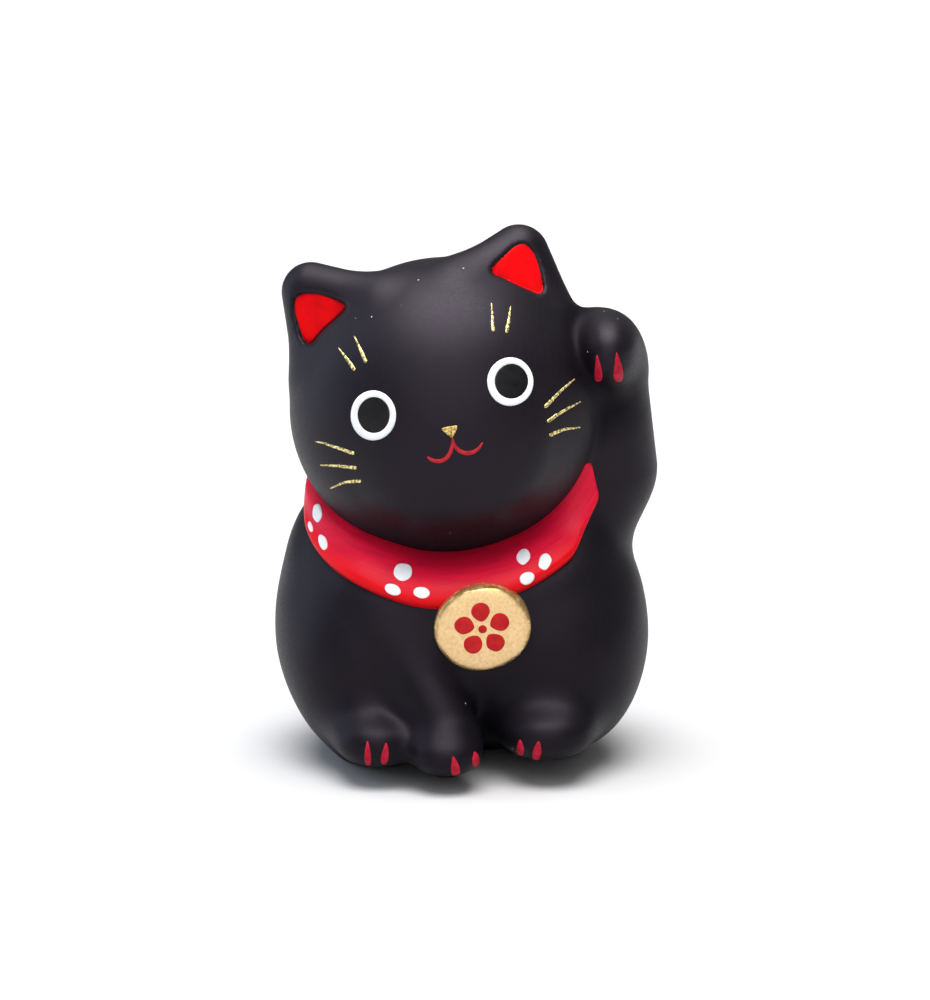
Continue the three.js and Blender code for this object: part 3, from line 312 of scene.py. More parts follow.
def surface(field, low, high, h, coarse=4, reach=1.6):
    """The closed surface field = 0 as vertices and quads, on a grid of spacing h, each vertex on the surface."""
    low, H = np.array(low, float), h * coarse
    n = np.ceil((np.array(high) - low) / H).astype(int)
    g = np.stack(np.meshgrid(*[low[i] + np.arange(n[i] + 1) * H for i in range(3)], indexing="ij"), -1)
    F = field(g.reshape(-1, 3)).reshape(g.shape[:3])
    near = np.min([np.abs(shifted(F, *c)) for c in CORNERS], axis=0) < H * reach
    signs = sum((shifted(F, *c) < 0).astype(int) for c in CORNERS)
    near |= (signs > 0) & (signs < 8)
    rep = lambda a: a.repeat(coarse, 0).repeat(coarse, 1).repeat(coarse, 2)
    V = np.pad(rep(F[:-1, :-1, :-1]), ((0, 1),) * 3, mode="edge")
    A, need = rep(near), np.zeros(V.shape, bool)
    for i, j, k in CORNERS:
        need[i:need.shape[0] - 1 + i, j:need.shape[1] - 1 + j, k:need.shape[2] - 1 + k] |= A
    idx = np.argwhere(need)
    val = np.empty(len(idx))
    for a in range(0, len(idx), 200000):
        val[a:a + 200000] = field(low + idx[a:a + 200000] * h)
    V[need] = val
    S = V < 0
    count = sum(shifted(S, *c).astype(np.int8) for c in CORNERS)
    mixed = (count > 0) & (count < 8)
    cells = np.argwhere(mixed)
    index = np.full(mixed.shape, -1, np.int64)
    index[mixed] = np.arange(len(cells))
    total, hits = np.zeros((len(cells), 3)), np.zeros(len(cells))
    for c in CORNERS:
        for d in range(3):
            if c[d]:
                continue
            e = list(c)
            e[d] = 1
            va, vb = V[tuple((cells + c).T)], V[tuple((cells + e).T)]
            cross = (va < 0) != (vb < 0)
            t = np.where(cross, va / np.where(cross, va - vb, 1), 0)
            q = np.array(c, float) + np.outer(t, np.eye(3)[d])
            total += q * cross[:, None]
            hits += cross
    pos = low + (cells + total / hits[:, None]) * h
    start = pos.copy()
    for _ in range(4):
        f, gr = field(pos), slope(field, pos, 0.02)
        pos = pos - gr * (f / np.maximum((gr * gr).sum(1), 0.2))[:, None]
    far = np.linalg.norm(pos - start, axis=1) > 0.8 * h
    pos[far] = start[far]
    quads = []
    for d in range(3):
        u, v = (d + 1) % 3, (d + 2) % 3
        sl = [slice(1, -1)] * 3
        a = S[1:-1, 1:-1, 1:-1]
        off = [slice(1, -1)] * 3
        off[d] = slice(2, None)
        b = S[tuple(off)]
        at = np.argwhere(a != b) + 1
        inside = S[tuple(at.T)]
        du, dv = np.eye(3, dtype=int)[u], np.eye(3, dtype=int)[v]
        q = np.stack([index[tuple((at - m * du - k * dv).T)] for m, k in ((0, 0), (1, 0), (1, 1), (0, 1))], 1)
        q[~inside] = q[~inside][:, ::-1]
        quads.append(q)
    return pos, np.concatenate(quads)


def piece(name, verts, faces, material, nodes, smooth=True):
    """A mesh from millimetre vertices, on the root body, standing for those CAD nodes."""
    mesh = bpy.data.meshes.new(name)
    co = ((np.asarray(verts, float) + SHIFT) * MM).tolist()
    mesh.from_pydata(co, [], [list(map(int, f)) for f in faces])
    mesh.validate()
    mesh.update()
    if smooth:
        mesh.polygons.foreach_set("use_smooth", [True] * len(mesh.polygons))
    ob = bpy.data.objects.new(name, mesh)
    bpy.context.scene.collection.objects.link(ob)
    mesh.materials.append(material)
    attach(ob, "root")
    if nodes:
        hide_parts(*nodes)
    return ob


def attribute(ob, name, values):
    a = ob.data.attributes.new(name, "FLOAT", "POINT")
    a.data.foreach_set("value", np.asarray(values, np.float32))


# ------------------------------------------------------------------ marks laid on from a drawing plane
def drop(uv, field):
    """The points of the surface field = 0 under (u, v) on the drawing plane, and their outward normals."""
    uv = np.asarray(uv, float)
    origin = TARGET + BACK * EYE
    d = TARGET + np.outer(uv[:, 0], [1, 0, 0]) + np.outer(uv[:, 1] - LEVEL, UP) - origin
    d /= np.linalg.norm(d, axis=1)[:, None]
    t = np.full(len(d), EYE - 48.0)
    best, at = np.full(len(d), 1e9), t.copy()
    for _ in range(90):
        f = field(origin + d * t[:, None])
        better = np.abs(f) < best
        best, at = np.where(better, np.abs(f), best), np.where(better, t, at)
        t = np.minimum(t + np.clip(f * 0.7, -2, 4), EYE + 30)
    p = origin + d * at[:, None]
    for _ in range(6):  # a point just outside the outline comes round to the surface
        f, g = field(p), slope(field, p)
        p = p - g * (f / np.maximum((g * g).sum(1), 0.2))[:, None]
    g = slope(field, p)
    return p, g / np.linalg.norm(g, axis=1)[:, None]


def smooth_line(points, n):
    P = np.array(points, float)
    P = np.vstack([2 * P[0] - P[1], P, 2 * P[-1] - P[-2]])
    out = []
    for i in range(1, len(P) - 2):
        p0, p1, p2, p3 = P[i - 1], P[i], P[i + 1], P[i + 2]
        for t in np.linspace(0, 1, 16, endpoint=False):
            out.append(0.5 * (2 * p1 + (p2 - p0) * t + (2 * p0 - 5 * p1 + 4 * p2 - p3) * t * t + (3 * p1 - p0 - 3 * p2 + p3) * t ** 3))
    out.append(P[-2])
    return resample(np.array(out), n, False)


def wobble(n, amount, seed, waves=7, closed=True):
    """A small smooth unevenness along n steps."""
    r = np.random.default_rng(seed)
    a = np.arange(n) / n * 2 * math.pi
    w = np.zeros(n)
    for k in range(2, 2 + waves):
        w += r.normal() / k ** 0.7 * np.cos(k * a + r.uniform(0, 2 * math.pi))
    return 1 + amount * w / max(np.abs(w).max(), 1e-9)


def oval(c, r, n, tilt=0.0):
    a = np.arange(n) / n * 2 * math.pi
    t = math.radians(tilt)
    x, y = np.cos(a) * r[0], np.sin(a) * r[1]
    return np.stack([c[0] + x * math.cos(t) - y * math.sin(t), c[1] + x * math.sin(t) + y * math.cos(t)], 1)


def blob(outline, field, thick, edge, sunk=0.05, middle=None):
    """A filled outline of enamel with a rounded edge: vertices and faces."""
    n = len(outline)
    m = outline.mean(0) if middle is None else np.array(middle)
    size = np.linalg.norm(outline - m, axis=1).mean()
    ks = [1.0]
    for q in (0.12, 0.35, 0.65, 1.0):
        ks.append(1 - min(edge, size * 0.8) * q / size)
    inner = ks[-1]
    for q in (0.72, 0.45, 0.2):
        ks.append(inner * q)
    rows = np.concatenate([m + (outline - m) * k for k in ks] + [m[None]])
    p, nn = drop(rows, field)
    heights = []
    for k in ks:
        q = min((1 - k) * size / max(edge, 1e-6), 1)
        heights += [thick * math.sqrt(1 - (1 - q) ** 2)] * n
    heights = np.array(heights + [thick])
    top = p + nn * heights[:, None]
    low = p - nn * sunk
    verts = np.vstack([top, low])
    R, off = len(ks), len(p)
    faces = []
    for r in range(R - 1):
        for c in range(n):
            d = (c + 1) % n
            faces.append([r * n + c, r * n + d, (r + 1) * n + d, (r + 1) * n + c])
            faces.append([off + r * n + d, off + r * n + c, off + (r + 1) * n + c, off + (r + 1) * n + d])
    for c in range(n):
        d = (c + 1) % n
        faces.append([(R - 1) * n + c, (R - 1) * n + d, off - 1])
        faces.append([off + (R - 1) * n + d, off + (R - 1) * n + c, 2 * off - 1])
        faces.append([d, c, off + c, off + d])
    return verts, faces


def ring(outer, inner, field, thick, sunk=0.05):
    """A closed ring of enamel between two outlines, rounded on both edges."""
    n = len(outer)
    ks = [0, 0.06, 0.18, 0.35, 0.5, 0.65, 0.82, 0.94, 1]
    rows = np.concatenate([outer + (inner - outer) * k for k in ks])
    p, nn = drop(rows, field)
    hs = np.concatenate([[thick * (1 - abs(2 * k - 1) ** 3) ** 0.5] * n for k in ks])
    verts = np.vstack([p + nn * hs[:, None], p - nn * sunk])
    R, off, faces = len(ks), len(p), []
    for c in range(n):
        d = (c + 1) % n
        for r in range(R - 1):
            faces.append([r * n + c, r * n + d, (r + 1) * n + d, (r + 1) * n + c])
            faces.append([off + r * n + d, off + r * n + c, off + (r + 1) * n + c, off + (r + 1) * n + d])
        faces.append([d, c, off + c, off + d])
        faces.append([(R - 1) * n + c, (R - 1) * n + d, off + (R - 1) * n + d, off + (R - 1) * n + c])
    return verts, faces


def stroke(line, widths, field, thick, steps, seed, rough=0.05, sunk=0.05):
    """A brush stroke of changing width, thicker in the middle, rounded at both ends."""
    p = smooth_line(line, steps)
    t = np.linspace(0, 1, steps)
    w = np.interp(t, np.linspace(0, 1, len(widths)), widths)
    # rounded ends
    s = np.concatenate([[0], np.cumsum(np.linalg.norm(np.diff(p, axis=0), axis=1))])
    for dist, w0 in ((s, widths[0]), (s[-1] - s, widths[-1])):
        q = np.clip(dist / max(w0 * 0.5, 1e-3), 0, 1)
        w = w * np.sqrt(np.maximum(1 - (1 - q) ** 2, 0.02))
    wl, wr = w * wobble(steps, rough, seed, 14), w * wobble(steps, rough, seed + 50, 14)
    tan = np.gradient(p, axis=0)
    tan /= np.linalg.norm(tan, axis=1)[:, None]
    nor = np.stack([-tan[:, 1], tan[:, 0]], 1)
    xs = [-1, -0.8, -0.4, 0, 0.4, 0.8, 1]
    rows = np.concatenate([p + nor * (np.where(x < 0, wr, wl) * 0.5 * x)[:, None] for x in xs])
    q, nn = drop(rows, field)
    hs = np.concatenate([thick * math.sqrt(1 - 0.97 * x * x) * np.clip(w / max(w.max(), 1e-6), 0.25, 1) for x in xs])
    hs[:steps] *= 0
    hs[-steps:] *= 0
    verts = np.vstack([q + nn * hs[:, None], q - nn * sunk])
    C, off, faces = len(xs), len(q), []
    for c in range(C - 1):
        for i in range(steps - 1):
            a, b = c * steps + i, (c + 1) * steps + i
            faces.append([a, a + 1, b + 1, b])
            faces.append([off + a + 1, off + a, off + b, off + b + 1])
        a, b = c * steps, (c + 1) * steps
        faces.append([b, off + b, off + a, a])
        a, b = c * steps + steps - 1, (c + 1) * steps + steps - 1
        faces.append([a, off + a, off + b, b])
    for i in range(steps - 1):
        faces.append([i + 1, i, off + i, off + i + 1])
        a = (C - 1) * steps + i
        faces.append([a, a + 1, off + a + 1, off + a])
    return verts, faces


def outward(verts, faces):
    """Faces turned so that they all face out."""
    v = np.asarray(verts)
    vol = 0.0
    for f in faces:
        a = v[f[0]]
        for i in range(1, len(f) - 1):
            vol += np.dot(a, np.cross(v[f[i]], v[f[i + 1]]))
    return [list(f)[::-1] for f in faces] if vol < 0 else faces


def joined(parts):
    verts, faces, n = [], [], 0
    for v, f in parts:
        verts.append(v)
        faces += [[i + n for i in q] for q in outward(v, f)]
        n += len(v)
    return np.vstack(verts), faces


# ------------------------------------------------------------------ materials
def new_material(name):
    m = bpy.data.materials.new(name)
    m.use_nodes = True
    t = m.node_tree
    t.nodes.clear()
    out = t.nodes.new("ShaderNodeOutputMaterial")
    b = t.nodes.new("ShaderNodeBsdfPrincipled")
    t.links.new(b.outputs["BSDF"], out.inputs["Surface"])
    return m, t, b


def coords(t, scale=(1, 1, 1)):
    c = t.nodes.new("ShaderNodeTexCoord")
    mp = t.nodes.new("ShaderNodeMapping")
    mp.inputs["Scale"].default_value = scale
    t.links.new(c.outputs["Object"], mp.inputs["Vector"])
    return mp.outputs["Vector"]


def noise(t, vec, scale, detail=2.0, rough=0.5, kind="ShaderNodeTexNoise"):
    n = t.nodes.new(kind)
    n.inputs["Scale"].default_value = scale
    n.inputs["Detail"].default_value = detail
    n.inputs["Roughness"].default_value = rough
    t.links.new(vec, n.inputs["Vector"])
    return n.outputs["Fac"]


def ramp(t, fac, stops):
    r = t.nodes.new("ShaderNodeValToRGB")
    el = r.color_ramp.elements
    while len(el) < len(stops):
        el.new(0.5)
    for e, (pos, col) in zip(el, stops):
        e.position = pos
        e.color = (*col, 1) if len(col) == 3 else col
    t.links.new(fac, r.inputs["Fac"])
    return r.outputs["Color"]


def spread(t, fac, lo, hi, a=0.0, b=1.0):
    m = t.nodes.new("ShaderNodeMapRange")
    m.inputs["From Min"].default_value = a
    m.inputs["From Max"].default_value = b
    m.inputs["To Min"].default_value = lo
    m.inputs["To Max"].default_value = hi
    t.links.new(fac, m.inputs["Value"])
    return m.outputs["Result"]


def mix(t, fac, a, b, mode="MIX"):
    m = t.nodes.new("ShaderNodeMix")
    m.data_type = "RGBA"
    m.blend_type = mode
    for sock, v in ((m.inputs[0], fac), (m.inputs[6], a), (m.inputs[7], b)):
        if hasattr(v, "is_linked"):
            t.links.new(v, sock)
        elif isinstance(v, (int, float)):
            sock.default_value = v
        else:
            sock.default_value = (*v, 1)
    return m.outputs[2]


def math_node(t, op, a, b=0.0):
    m = t.nodes.new("ShaderNodeMath")
    m.operation = op
    for sock, v in ((m.inputs[0], a), (m.inputs[1], b)):
        if hasattr(v, "is_linked"):
            t.links.new(v, sock)
        else:
            sock.default_value = v
    return m.outputs[0]


def bump(t, b, height, strength, distance):
    n = t.nodes.new("ShaderNodeBump")
    n.inputs["Strength"].default_value = strength
    n.inputs["Distance"].default_value = distance
    t.links.new(height, n.inputs["Height"])
    t.links.new(n.outputs["Normal"], b.inputs["Normal"])


def srgb(*c):
    return tuple(((x / 255 + 0.055) / 1.055) ** 2.4 if x > 10 else x / 255 / 12.92 for x in c)


def ceramic():
    m, t, b = new_material("matt_black_glaze")
    v = coords(t)
    cloud = noise(t, v, 90, 4, 0.55)
    grain = noise(t, v, 2600, 3, 0.6)
    base = ramp(t, cloud, [(0.30, (0.0034, 0.0027, 0.0040)), (0.55, (0.0044, 0.0035, 0.0052)), (0.75, (0.0060, 0.0047, 0.0070))])
    fine = ramp(t, grain, [(0.35, (0.86, 0.86, 0.86)), (0.65, (1.1, 1.1, 1.1))])
    base = mix(t, 0.7, base, fine, "MULTIPLY")
    where = t.nodes.new("ShaderNodeSeparateXYZ")
    t.links.new(v, where.inputs[0])
    # a few pale specks of dust caught in the glaze, most of them on the crown and the ears
    vo = t.nodes.new("ShaderNodeTexVoronoi")
    vo.inputs["Scale"].default_value = 470
    t.links.new(v, vo.inputs["Vector"])
    sep = t.nodes.new("ShaderNodeSeparateColor")
    t.links.new(vo.outputs["Color"], sep.inputs["Color"])
    rare = math_node(t, "GREATER_THAN", sep.outputs[0], spread(t, where.outputs[2], 0.975, 0.76, 0.053, 0.062))
    close = math_node(t, "LESS_THAN", vo.outputs["Distance"], 0.055)
    speck = math_node(t, "MULTIPLY", rare, close)
    base = mix(t, speck, base, srgb(176, 172, 180))
    # painted light: where the head meets the collar the black is painted lighter and bluer, standing in for light on
    # the chin and cancelling the collar's red reflection there; the gloss there is cut too
    crease = t.nodes.new("ShaderNodeAttribute")
    crease.attribute_name = "crease"
    t.links.new(mix(t, crease.outputs["Fac"], base, (0.015, 0.0155, 0.020)), b.inputs["Base Color"])
    t.links.new(math_node(t, "ADD", spread(t, grain, 0.42, 0.52, 0.3, 0.7), math_node(t, "MULTIPLY", crease.outputs["Fac"], 0.3)), b.inputs["Roughness"])
    low = spread(t, where.outputs[2], 0.14, 0.22, 0.014, 0.040)  # less gloss low down: painted shade, for the overhead light that the head and body keep off the feet
    # painted shade: the shade mask cuts the gloss in the valley beside the raised paw and under its claws, so they read
    # dark
    shade = t.nodes.new("ShaderNodeAttribute")
    shade.attribute_name = "shade"
    gloss = math_node(t, "MULTIPLY", spread(t, crease.outputs["Fac"], 1.0, 0.14), spread(t, shade.outputs["Fac"], 1.0, 0.25))
    t.links.new(math_node(t, "MULTIPLY", low, gloss), b.inputs["Specular IOR Level"])
    b.inputs["Specular Tint"].default_value = (0.93, 0.80, 1.0, 1)
    bump(t, b, grain, 0.22, 0.00003)
    return m


def red_enamel(name, bright, dark, streaks=True, rough=0.42, shine=0.1):
    m, t, b = new_material(name)
    b.inputs["Specular IOR Level"].default_value = shine
    if streaks:
        at = [t.nodes.new("ShaderNodeAttribute") for _ in range(2)]
        at[0].attribute_name, at[1].attribute_name = "along", "across"
        cmb = t.nodes.new("ShaderNodeCombineXYZ")
        t.links.new(math_node(t, "MULTIPLY", at[0].outputs["Fac"], 0.09), cmb.inputs[0])
        t.links.new(at[1].outputs["Fac"], cmb.inputs[1])
        brush = noise(t, cmb.outputs[0], 1.6, 4, 0.6)
        hairs = noise(t, cmb.outputs[0], 9.0, 2, 0.5)
        # painted light: towards its lower edge the band is painted a purer red, standing in for the light the pale
        # floor throws up onto it
        edge = spread(t, at[1].outputs["Fac"], 0.0, 1.0, 5.2, 8.6)
        base = ramp(t, brush, [(0.32, dark), (0.62, bright)])
        base = mix(t, edge, base, (0.58, 0.001, 0.005))
        tone = ramp(t, hairs, [(0.35, (0.9, 0.9, 0.9)), (0.7, (1.08, 1.05, 1.05))])
        base = mix(t, 0.6, base, tone, "MULTIPLY")
        t.links.new(base, b.inputs["Base Color"])
        bump(t, b, hairs, 0.25, 0.00005)
        t.links.new(spread(t, brush, rough - 0.05, rough + 0.08, 0.3, 0.7), b.inputs["Roughness"])
    else:
        v = coords(t)
        n = noise(t, v, 420, 4, 0.6)
        base = ramp(t, n, [(0.3, dark), (0.6, bright)])
        t.links.new(base, b.inputs["Base Color"])
        g = noise(t, v, 2400, 2, 0.5)
        bump(t, b, g, 0.25, 0.00004)
        t.links.new(spread(t, n, rough - 0.04, rough + 0.06, 0.3, 0.7), b.inputs["Roughness"])
    return m


def gold(name, pale, deep, grain=3400, rough=0.42, metal=0.85, blotch=0.5, rim=False, spread_of=0.16):
    m, t, b = new_material(name)
    v = coords(t)
    g = noise(t, v, grain, 3, 0.65)
    n = noise(t, v, 300, 3, 0.6)
    base = ramp(t, g, [(0.5 - spread_of, deep), (0.5, tuple((a + c) / 2 for a, c in zip(pale, deep))), (0.5 + spread_of, pale)])
    base = mix(t, blotch, base, ramp(t, n, [(0.3, (0.84, 0.82, 0.78)), (0.7, (1.08, 1.07, 1.05))]), "MULTIPLY")
    b.inputs["Metallic"].default_value = metal
    dull = spread(t, g, rough - 0.08, rough + 0.14, 0.3, 0.7)
    if rim:  # the edge is burnished, with a few bright brush marks round it
        at = t.nodes.new("ShaderNodeAttribute")
        at.attribute_name = "rim"
        edge = spread(t, at.outputs["Fac"], 0, 1, 0.9, 0.955)
        marks = noise(t, coords(t, (1, 1, 1)), 620, 4, 0.7)
        worn = ramp(t, marks, [(0.42, (0.36, 0.21, 0.07)), (0.56, (0.62, 0.41, 0.17)), (0.68, (0.95, 0.78, 0.46))])
        base = mix(t, edge, base, worn)
        dull = math_node(t, "SUBTRACT", dull, math_node(t, "MULTIPLY", edge, 0.1))
    t.links.new(base, b.inputs["Base Color"])
    t.links.new(dull, b.inputs["Roughness"])
    bump(t, b, g, 0.35, 0.00005)
    return m


def plain_enamel(name, low, high, rough, scale=700, coat=0.0, shine=0.5):
    m, t, b = new_material(name)
    b.inputs["Specular IOR Level"].default_value = shine
    v = coords(t)
    n = noise(t, v, scale, 3, 0.55)
    t.links.new(ramp(t, n, [(0.3, low), (0.65, high)]), b.inputs["Base Color"])
    t.links.new(spread(t, n, rough - 0.03, rough + 0.05, 0.3, 0.7), b.inputs["Roughness"])
    b.inputs["Coat Weight"].default_value = coat
    b.inputs["Coat Roughness"].default_value = 0.12
    bump(t, b, n, 0.15, 0.00004)
    return m


CERAMIC = ceramic()
COLLAR_RED = red_enamel("crimson_enamel_brushed", (0.66, 0.006, 0.034), (0.50, 0.006, 0.036), shine=0.12)
EAR_RED = red_enamel("crimson_enamel", (0.64, 0.0015, 0.003), (0.50, 0.0015, 0.004), streaks=False, shine=0.05)
GOLD_LINE = gold("gold_paint_line", (0.98, 0.83, 0.36), (0.13, 0.09, 0.02), grain=3300, metal=0.6, spread_of=0.07)
GOLD_NOSE = gold("gold_paint_nose", (0.80, 0.60, 0.20), (0.20, 0.12, 0.02), grain=3300, metal=0.6, spread_of=0.09)
GOLD_DISC = gold("gold_paint_disc", (0.82, 0.58, 0.30), (0.66, 0.44, 0.20), grain=2300, rough=0.38, metal=0.6, blotch=0.2, rim=True)
WHITE = plain_enamel("white_enamel", (0.64, 0.66, 0.70), (0.72, 0.74, 0.77), 0.42, shine=0.2)
PUPIL = plain_enamel("black_enamel", (0.003, 0.0026, 0.0034), (0.006, 0.0054, 0.0066), 0.38, 900, shine=0.22)
CLAW_RED = plain_enamel("dark_red_enamel", (0.28, 0.006, 0.018), (0.48, 0.013, 0.038), 0.45, 900, shine=0.08)
MOUTH_RED = plain_enamel("mouth_red_enamel", (0.28, 0.008, 0.016), (0.46, 0.018, 0.028), 0.45, 1200, shine=0.12)
BLOSSOM_RED = plain_enamel("blossom_red_enamel", (0.34, 0.006, 0.008), (0.46, 0.012, 0.014), 0.42, 800, shine=0.12)

# ------------------------------------------------------------------ the ceramic skin
verts, quads = surface(casting, (-29, -32, -1.13), (29.5, 26.5, 77.5), GRID)
skin = piece("ceramic_skin", verts, quads, CERAMIC,
             ["torso_casting", "head_casting", "raised_arm_casting"])
# mask for the painted light on the chin, where the head meets the collar
off = np.clip(collar(verts) / 8.0, 0, 1)
chin = np.clip((0.6 - head(verts, False)) / 1.2, 0, 1) * np.clip((20 - verts[:, 0]) / 4, 0, 1)
attribute(skin, "crease", (1 - off * off * (3 - 2 * off)) * chin)
# painted shade: the valley between head and raised paw, and the recess under its claws, take no gloss, so they read
# dark
beside = np.clip(1.7 - np.maximum(head(verts, False), arm(verts)) / 1.7, 0, 1) * np.clip((verts[:, 2] - 44) / 5, 0, 1) * np.clip(-verts[:, 1] / 3, 0, 1)
under = np.clip(1.5 - np.linalg.norm((verts - [19.4, -9.5, 52.4]) / [9.5, 7.0, 5.0], axis=1), 0, 1)
attribute(skin, "shade", np.clip(np.maximum(beside, under), 0, 1))

# ------------------------------------------------------------------ the collar
verts, quads = surface(collar, (-26, -24, 20), (23, 19, 46), 0.3, reach=2.2)
band = piece("collar_band_painted", verts, quads, COLLAR_RED, ["collar_band"])
attribute(band, "along", np.arctan2(verts[:, 1] - 1.0, verts[:, 0] + 1.2) * 20)
attribute(band, "across", skull(verts) * 9.4 / by_direction(verts, COLLAR_WIDTH))

# ------------------------------------------------------------------ painted marks
for side, outline in EAR_PAINT.items():
    v, f = blob(smooth_loop(outline, 96), head, 0.18, 0.4)
    piece(f"ear_paint_{side}", v, outward(v, f), EAR_RED, [f"ear_enamel_{side}"])

EYES = {
    "left": dict(c=[-12.99, 47.43], ring=[3.22, 3.54], pc=[-12.92, 47.49], pupil=[2.27, 2.53]),
    "right": dict(c=[6.42, 52.21], ring=[3.27, 3.44], pc=[6.57, 52.26], pupil=[2.35, 2.45]),
}
for i, (side, e) in enumerate(EYES.items()):
    outer = oval(e["c"], e["ring"], 96)
    outer = e["c"] + (outer - e["c"]) * wobble(96, 0.006, 11 + i, 5)[:, None]
    inner = oval(e["pc"], e["pupil"], 96)
    inner = e["pc"] + (inner - e["pc"]) * wobble(96, 0.008, 21 + i, 5)[:, None]
    v, f = ring(outer, inner, head, 0.13)
    piece(f"eye_white_{side}", v, outward(v, f), WHITE, [f"eye_ring_{side}"])
    v, f = blob(e["pc"] + (inner - e["pc"]) * 1.01, head, 0.06, 0.3)
    piece(f"eye_pupil_{side}", v, outward(v, f), PUPIL, [f"pupil_{side}"])

NOSE = [[-3.314, 45.422], [-3.116, 45.662], [-2.691, 45.79], [-1.841, 45.946], [-1.218, 46.017], [-1.076, 45.79], [-1.218, 45.294],
        [-1.558, 44.657], [-1.841, 44.26], [-2.195, 44.458], [-2.833, 44.997]]
v, f = blob(smooth_loop(NOSE, 44), head, 0.14, 0.3)
piece("nose_paint", v, outward(v, f), GOLD_NOSE, ["nose"])

MOUTH_LEFT = [[-5.354, 41.597], [-4.887, 41.215], [-4.32, 40.988], [-3.569, 40.946], [-2.833, 41.257], [-2.266, 41.881], [-1.898, 42.745], [-1.742, 43.594], [-1.771, 44.289]]
MOUTH_RIGHT = [[-1.756, 43.949], [-1.53, 43.24], [-1.02, 42.603], [-0.283, 42.192], [0.425, 42.065], [1.218, 42.263], [1.926, 42.759], [2.521, 43.623]]
v, f = joined([
    stroke(MOUTH_LEFT, [0.28, 0.46, 0.56, 0.6, 0.58, 0.54, 0.5, 0.42, 0.22], head, 0.07, 60, 31),
    stroke(MOUTH_RIGHT, [0.36, 0.5, 0.54, 0.58, 0.58, 0.52, 0.4, 0.24], head, 0.066, 56, 33),
])
piece("mouth_paint", v, f, MOUTH_RED, ["mouth"])

BROWS = {
    "left_outer": [[-17.96, 57.036], [-17.422, 56.357], [-16.572, 55.223], [-15.609, 53.835]],
    "left_inner": [[-15.722, 58.708], [-15.227, 57.688], [-14.589, 56.272], [-13.994, 54.883]],
    "right_inner": [[3.739, 63.382], [3.824, 62.362], [3.909, 60.946], [3.994, 59.331]],
    "right_outer": [[6.487, 62.957], [6.317, 61.796], [6.119, 60.521], [5.864, 59.104]],
}
WHISKERS = {
    "left_top": [[-15.637, 41.994], [-17.139, 42.532], [-18.697, 43.042], [-19.972, 43.495], [-21.218, 43.722]],
    "left_mid": [[-15.297, 39.968], [-16.856, 40.153], [-18.697, 40.308], [-20.538, 40.379]],
    "left_low": [[-14.731, 38.099], [-16.147, 38.056], [-17.422, 37.801], [-19.093, 37.065]],
    "right_top": [[11.246, 48.509], [12.465, 49.756], [13.881, 51.172], [15.581, 52.603]],
    "right_mid": [[11.671, 46.512], [13.031, 47.49], [14.731, 48.481], [16.431, 49.402]],
    "right_low": [[11.955, 44.543], [12.89, 44.997], [14.164, 45.45], [16.346, 45.747]],
}
for i, (k, line) in enumerate(BROWS.items()):
    v, f = stroke(line, [0.14, 0.26, 0.38, 0.5, 0.52], head, 0.11, 48, 100 + i, 0.12)
    piece(f"brow_paint_{k}", v, outward(v, f), GOLD_LINE, [f"brow_{k}"])
for i, (k, line) in enumerate(WHISKERS.items()):
    v, f = stroke(line, [0.5, 0.46, 0.38, 0.3, 0.16], head, 0.11, 56, 200 + i, 0.12)
    piece(f"whisker_paint_{k}", v, outward(v, f), GOLD_LINE, [f"whisker_{k}"])

CLAWS = {
    "raised_inner": [[18.669, 56.017], [19.023, 55.138], [19.377, 53.864], [19.433, 52.801], [19.193, 52.306], [18.839, 52.178], [18.499, 52.362], [18.329, 53.014], [18.414, 54.43]],
    "raised_outer": [[21.445, 56.328], [21.884, 55.422], [22.295, 54.005], [22.38, 52.943], [22.153, 52.334], [21.728, 52.178], [21.246, 52.348], [21.02, 53.014], [21.19, 54.713]],
    "left_outer": [[-13.824, 1.371], [-13.513, 0.464], [-13.314, -0.811], [-13.329, -1.873], [-13.669, -2.17], [-14.079, -1.93], [-14.249, -1.094], [-14.108, 0.323]],
    "left_inner": [[-11.19, 1.059], [-10.878, 0.323], [-10.822, -0.952], [-11.119, -1.887], [-11.586, -2.029], [-11.898, -1.66], [-11.87, -0.811], [-11.558, 0.252]],
    "middle_left": [[-1.7, -0.867], [-1.218, -1.448], [-0.793, -2.369], [-0.708, -3.148], [-1.062, -3.502], [-1.643, -3.53], [-1.955, -3.148], [-1.941, -2.085]],
    "middle_right": [[1.36, -0.159], [1.813, -0.584], [2.054, -1.377], [1.926, -2.085], [1.53, -2.369], [1.133, -2.142], [1.034, -1.377], [1.161, -0.669]],
    "right_inner": [[7.762, 1.512], [8.13, 0.96], [8.371, 0.039], [8.187, -0.612], [7.762, -0.726], [7.394, -0.386], [7.337, 0.393], [7.507, 1.031]],
    "right_outer": [[10.425, 1.286], [10.737, 0.606], [10.807, -0.386], [10.482, -1.236], [10.028, -1.406], [9.603, -1.151], [9.575, -0.244], [9.943, 0.677]],
}
for k, outline in CLAWS.items():
    v, f = blob(smooth_loop(outline, 48), outside if k.startswith("raised") else torso, 0.1, 0.3)
    piece(f"claw_paint_{k}", v, outward(v, f), CLAW_RED, [f"claw_{k}"])

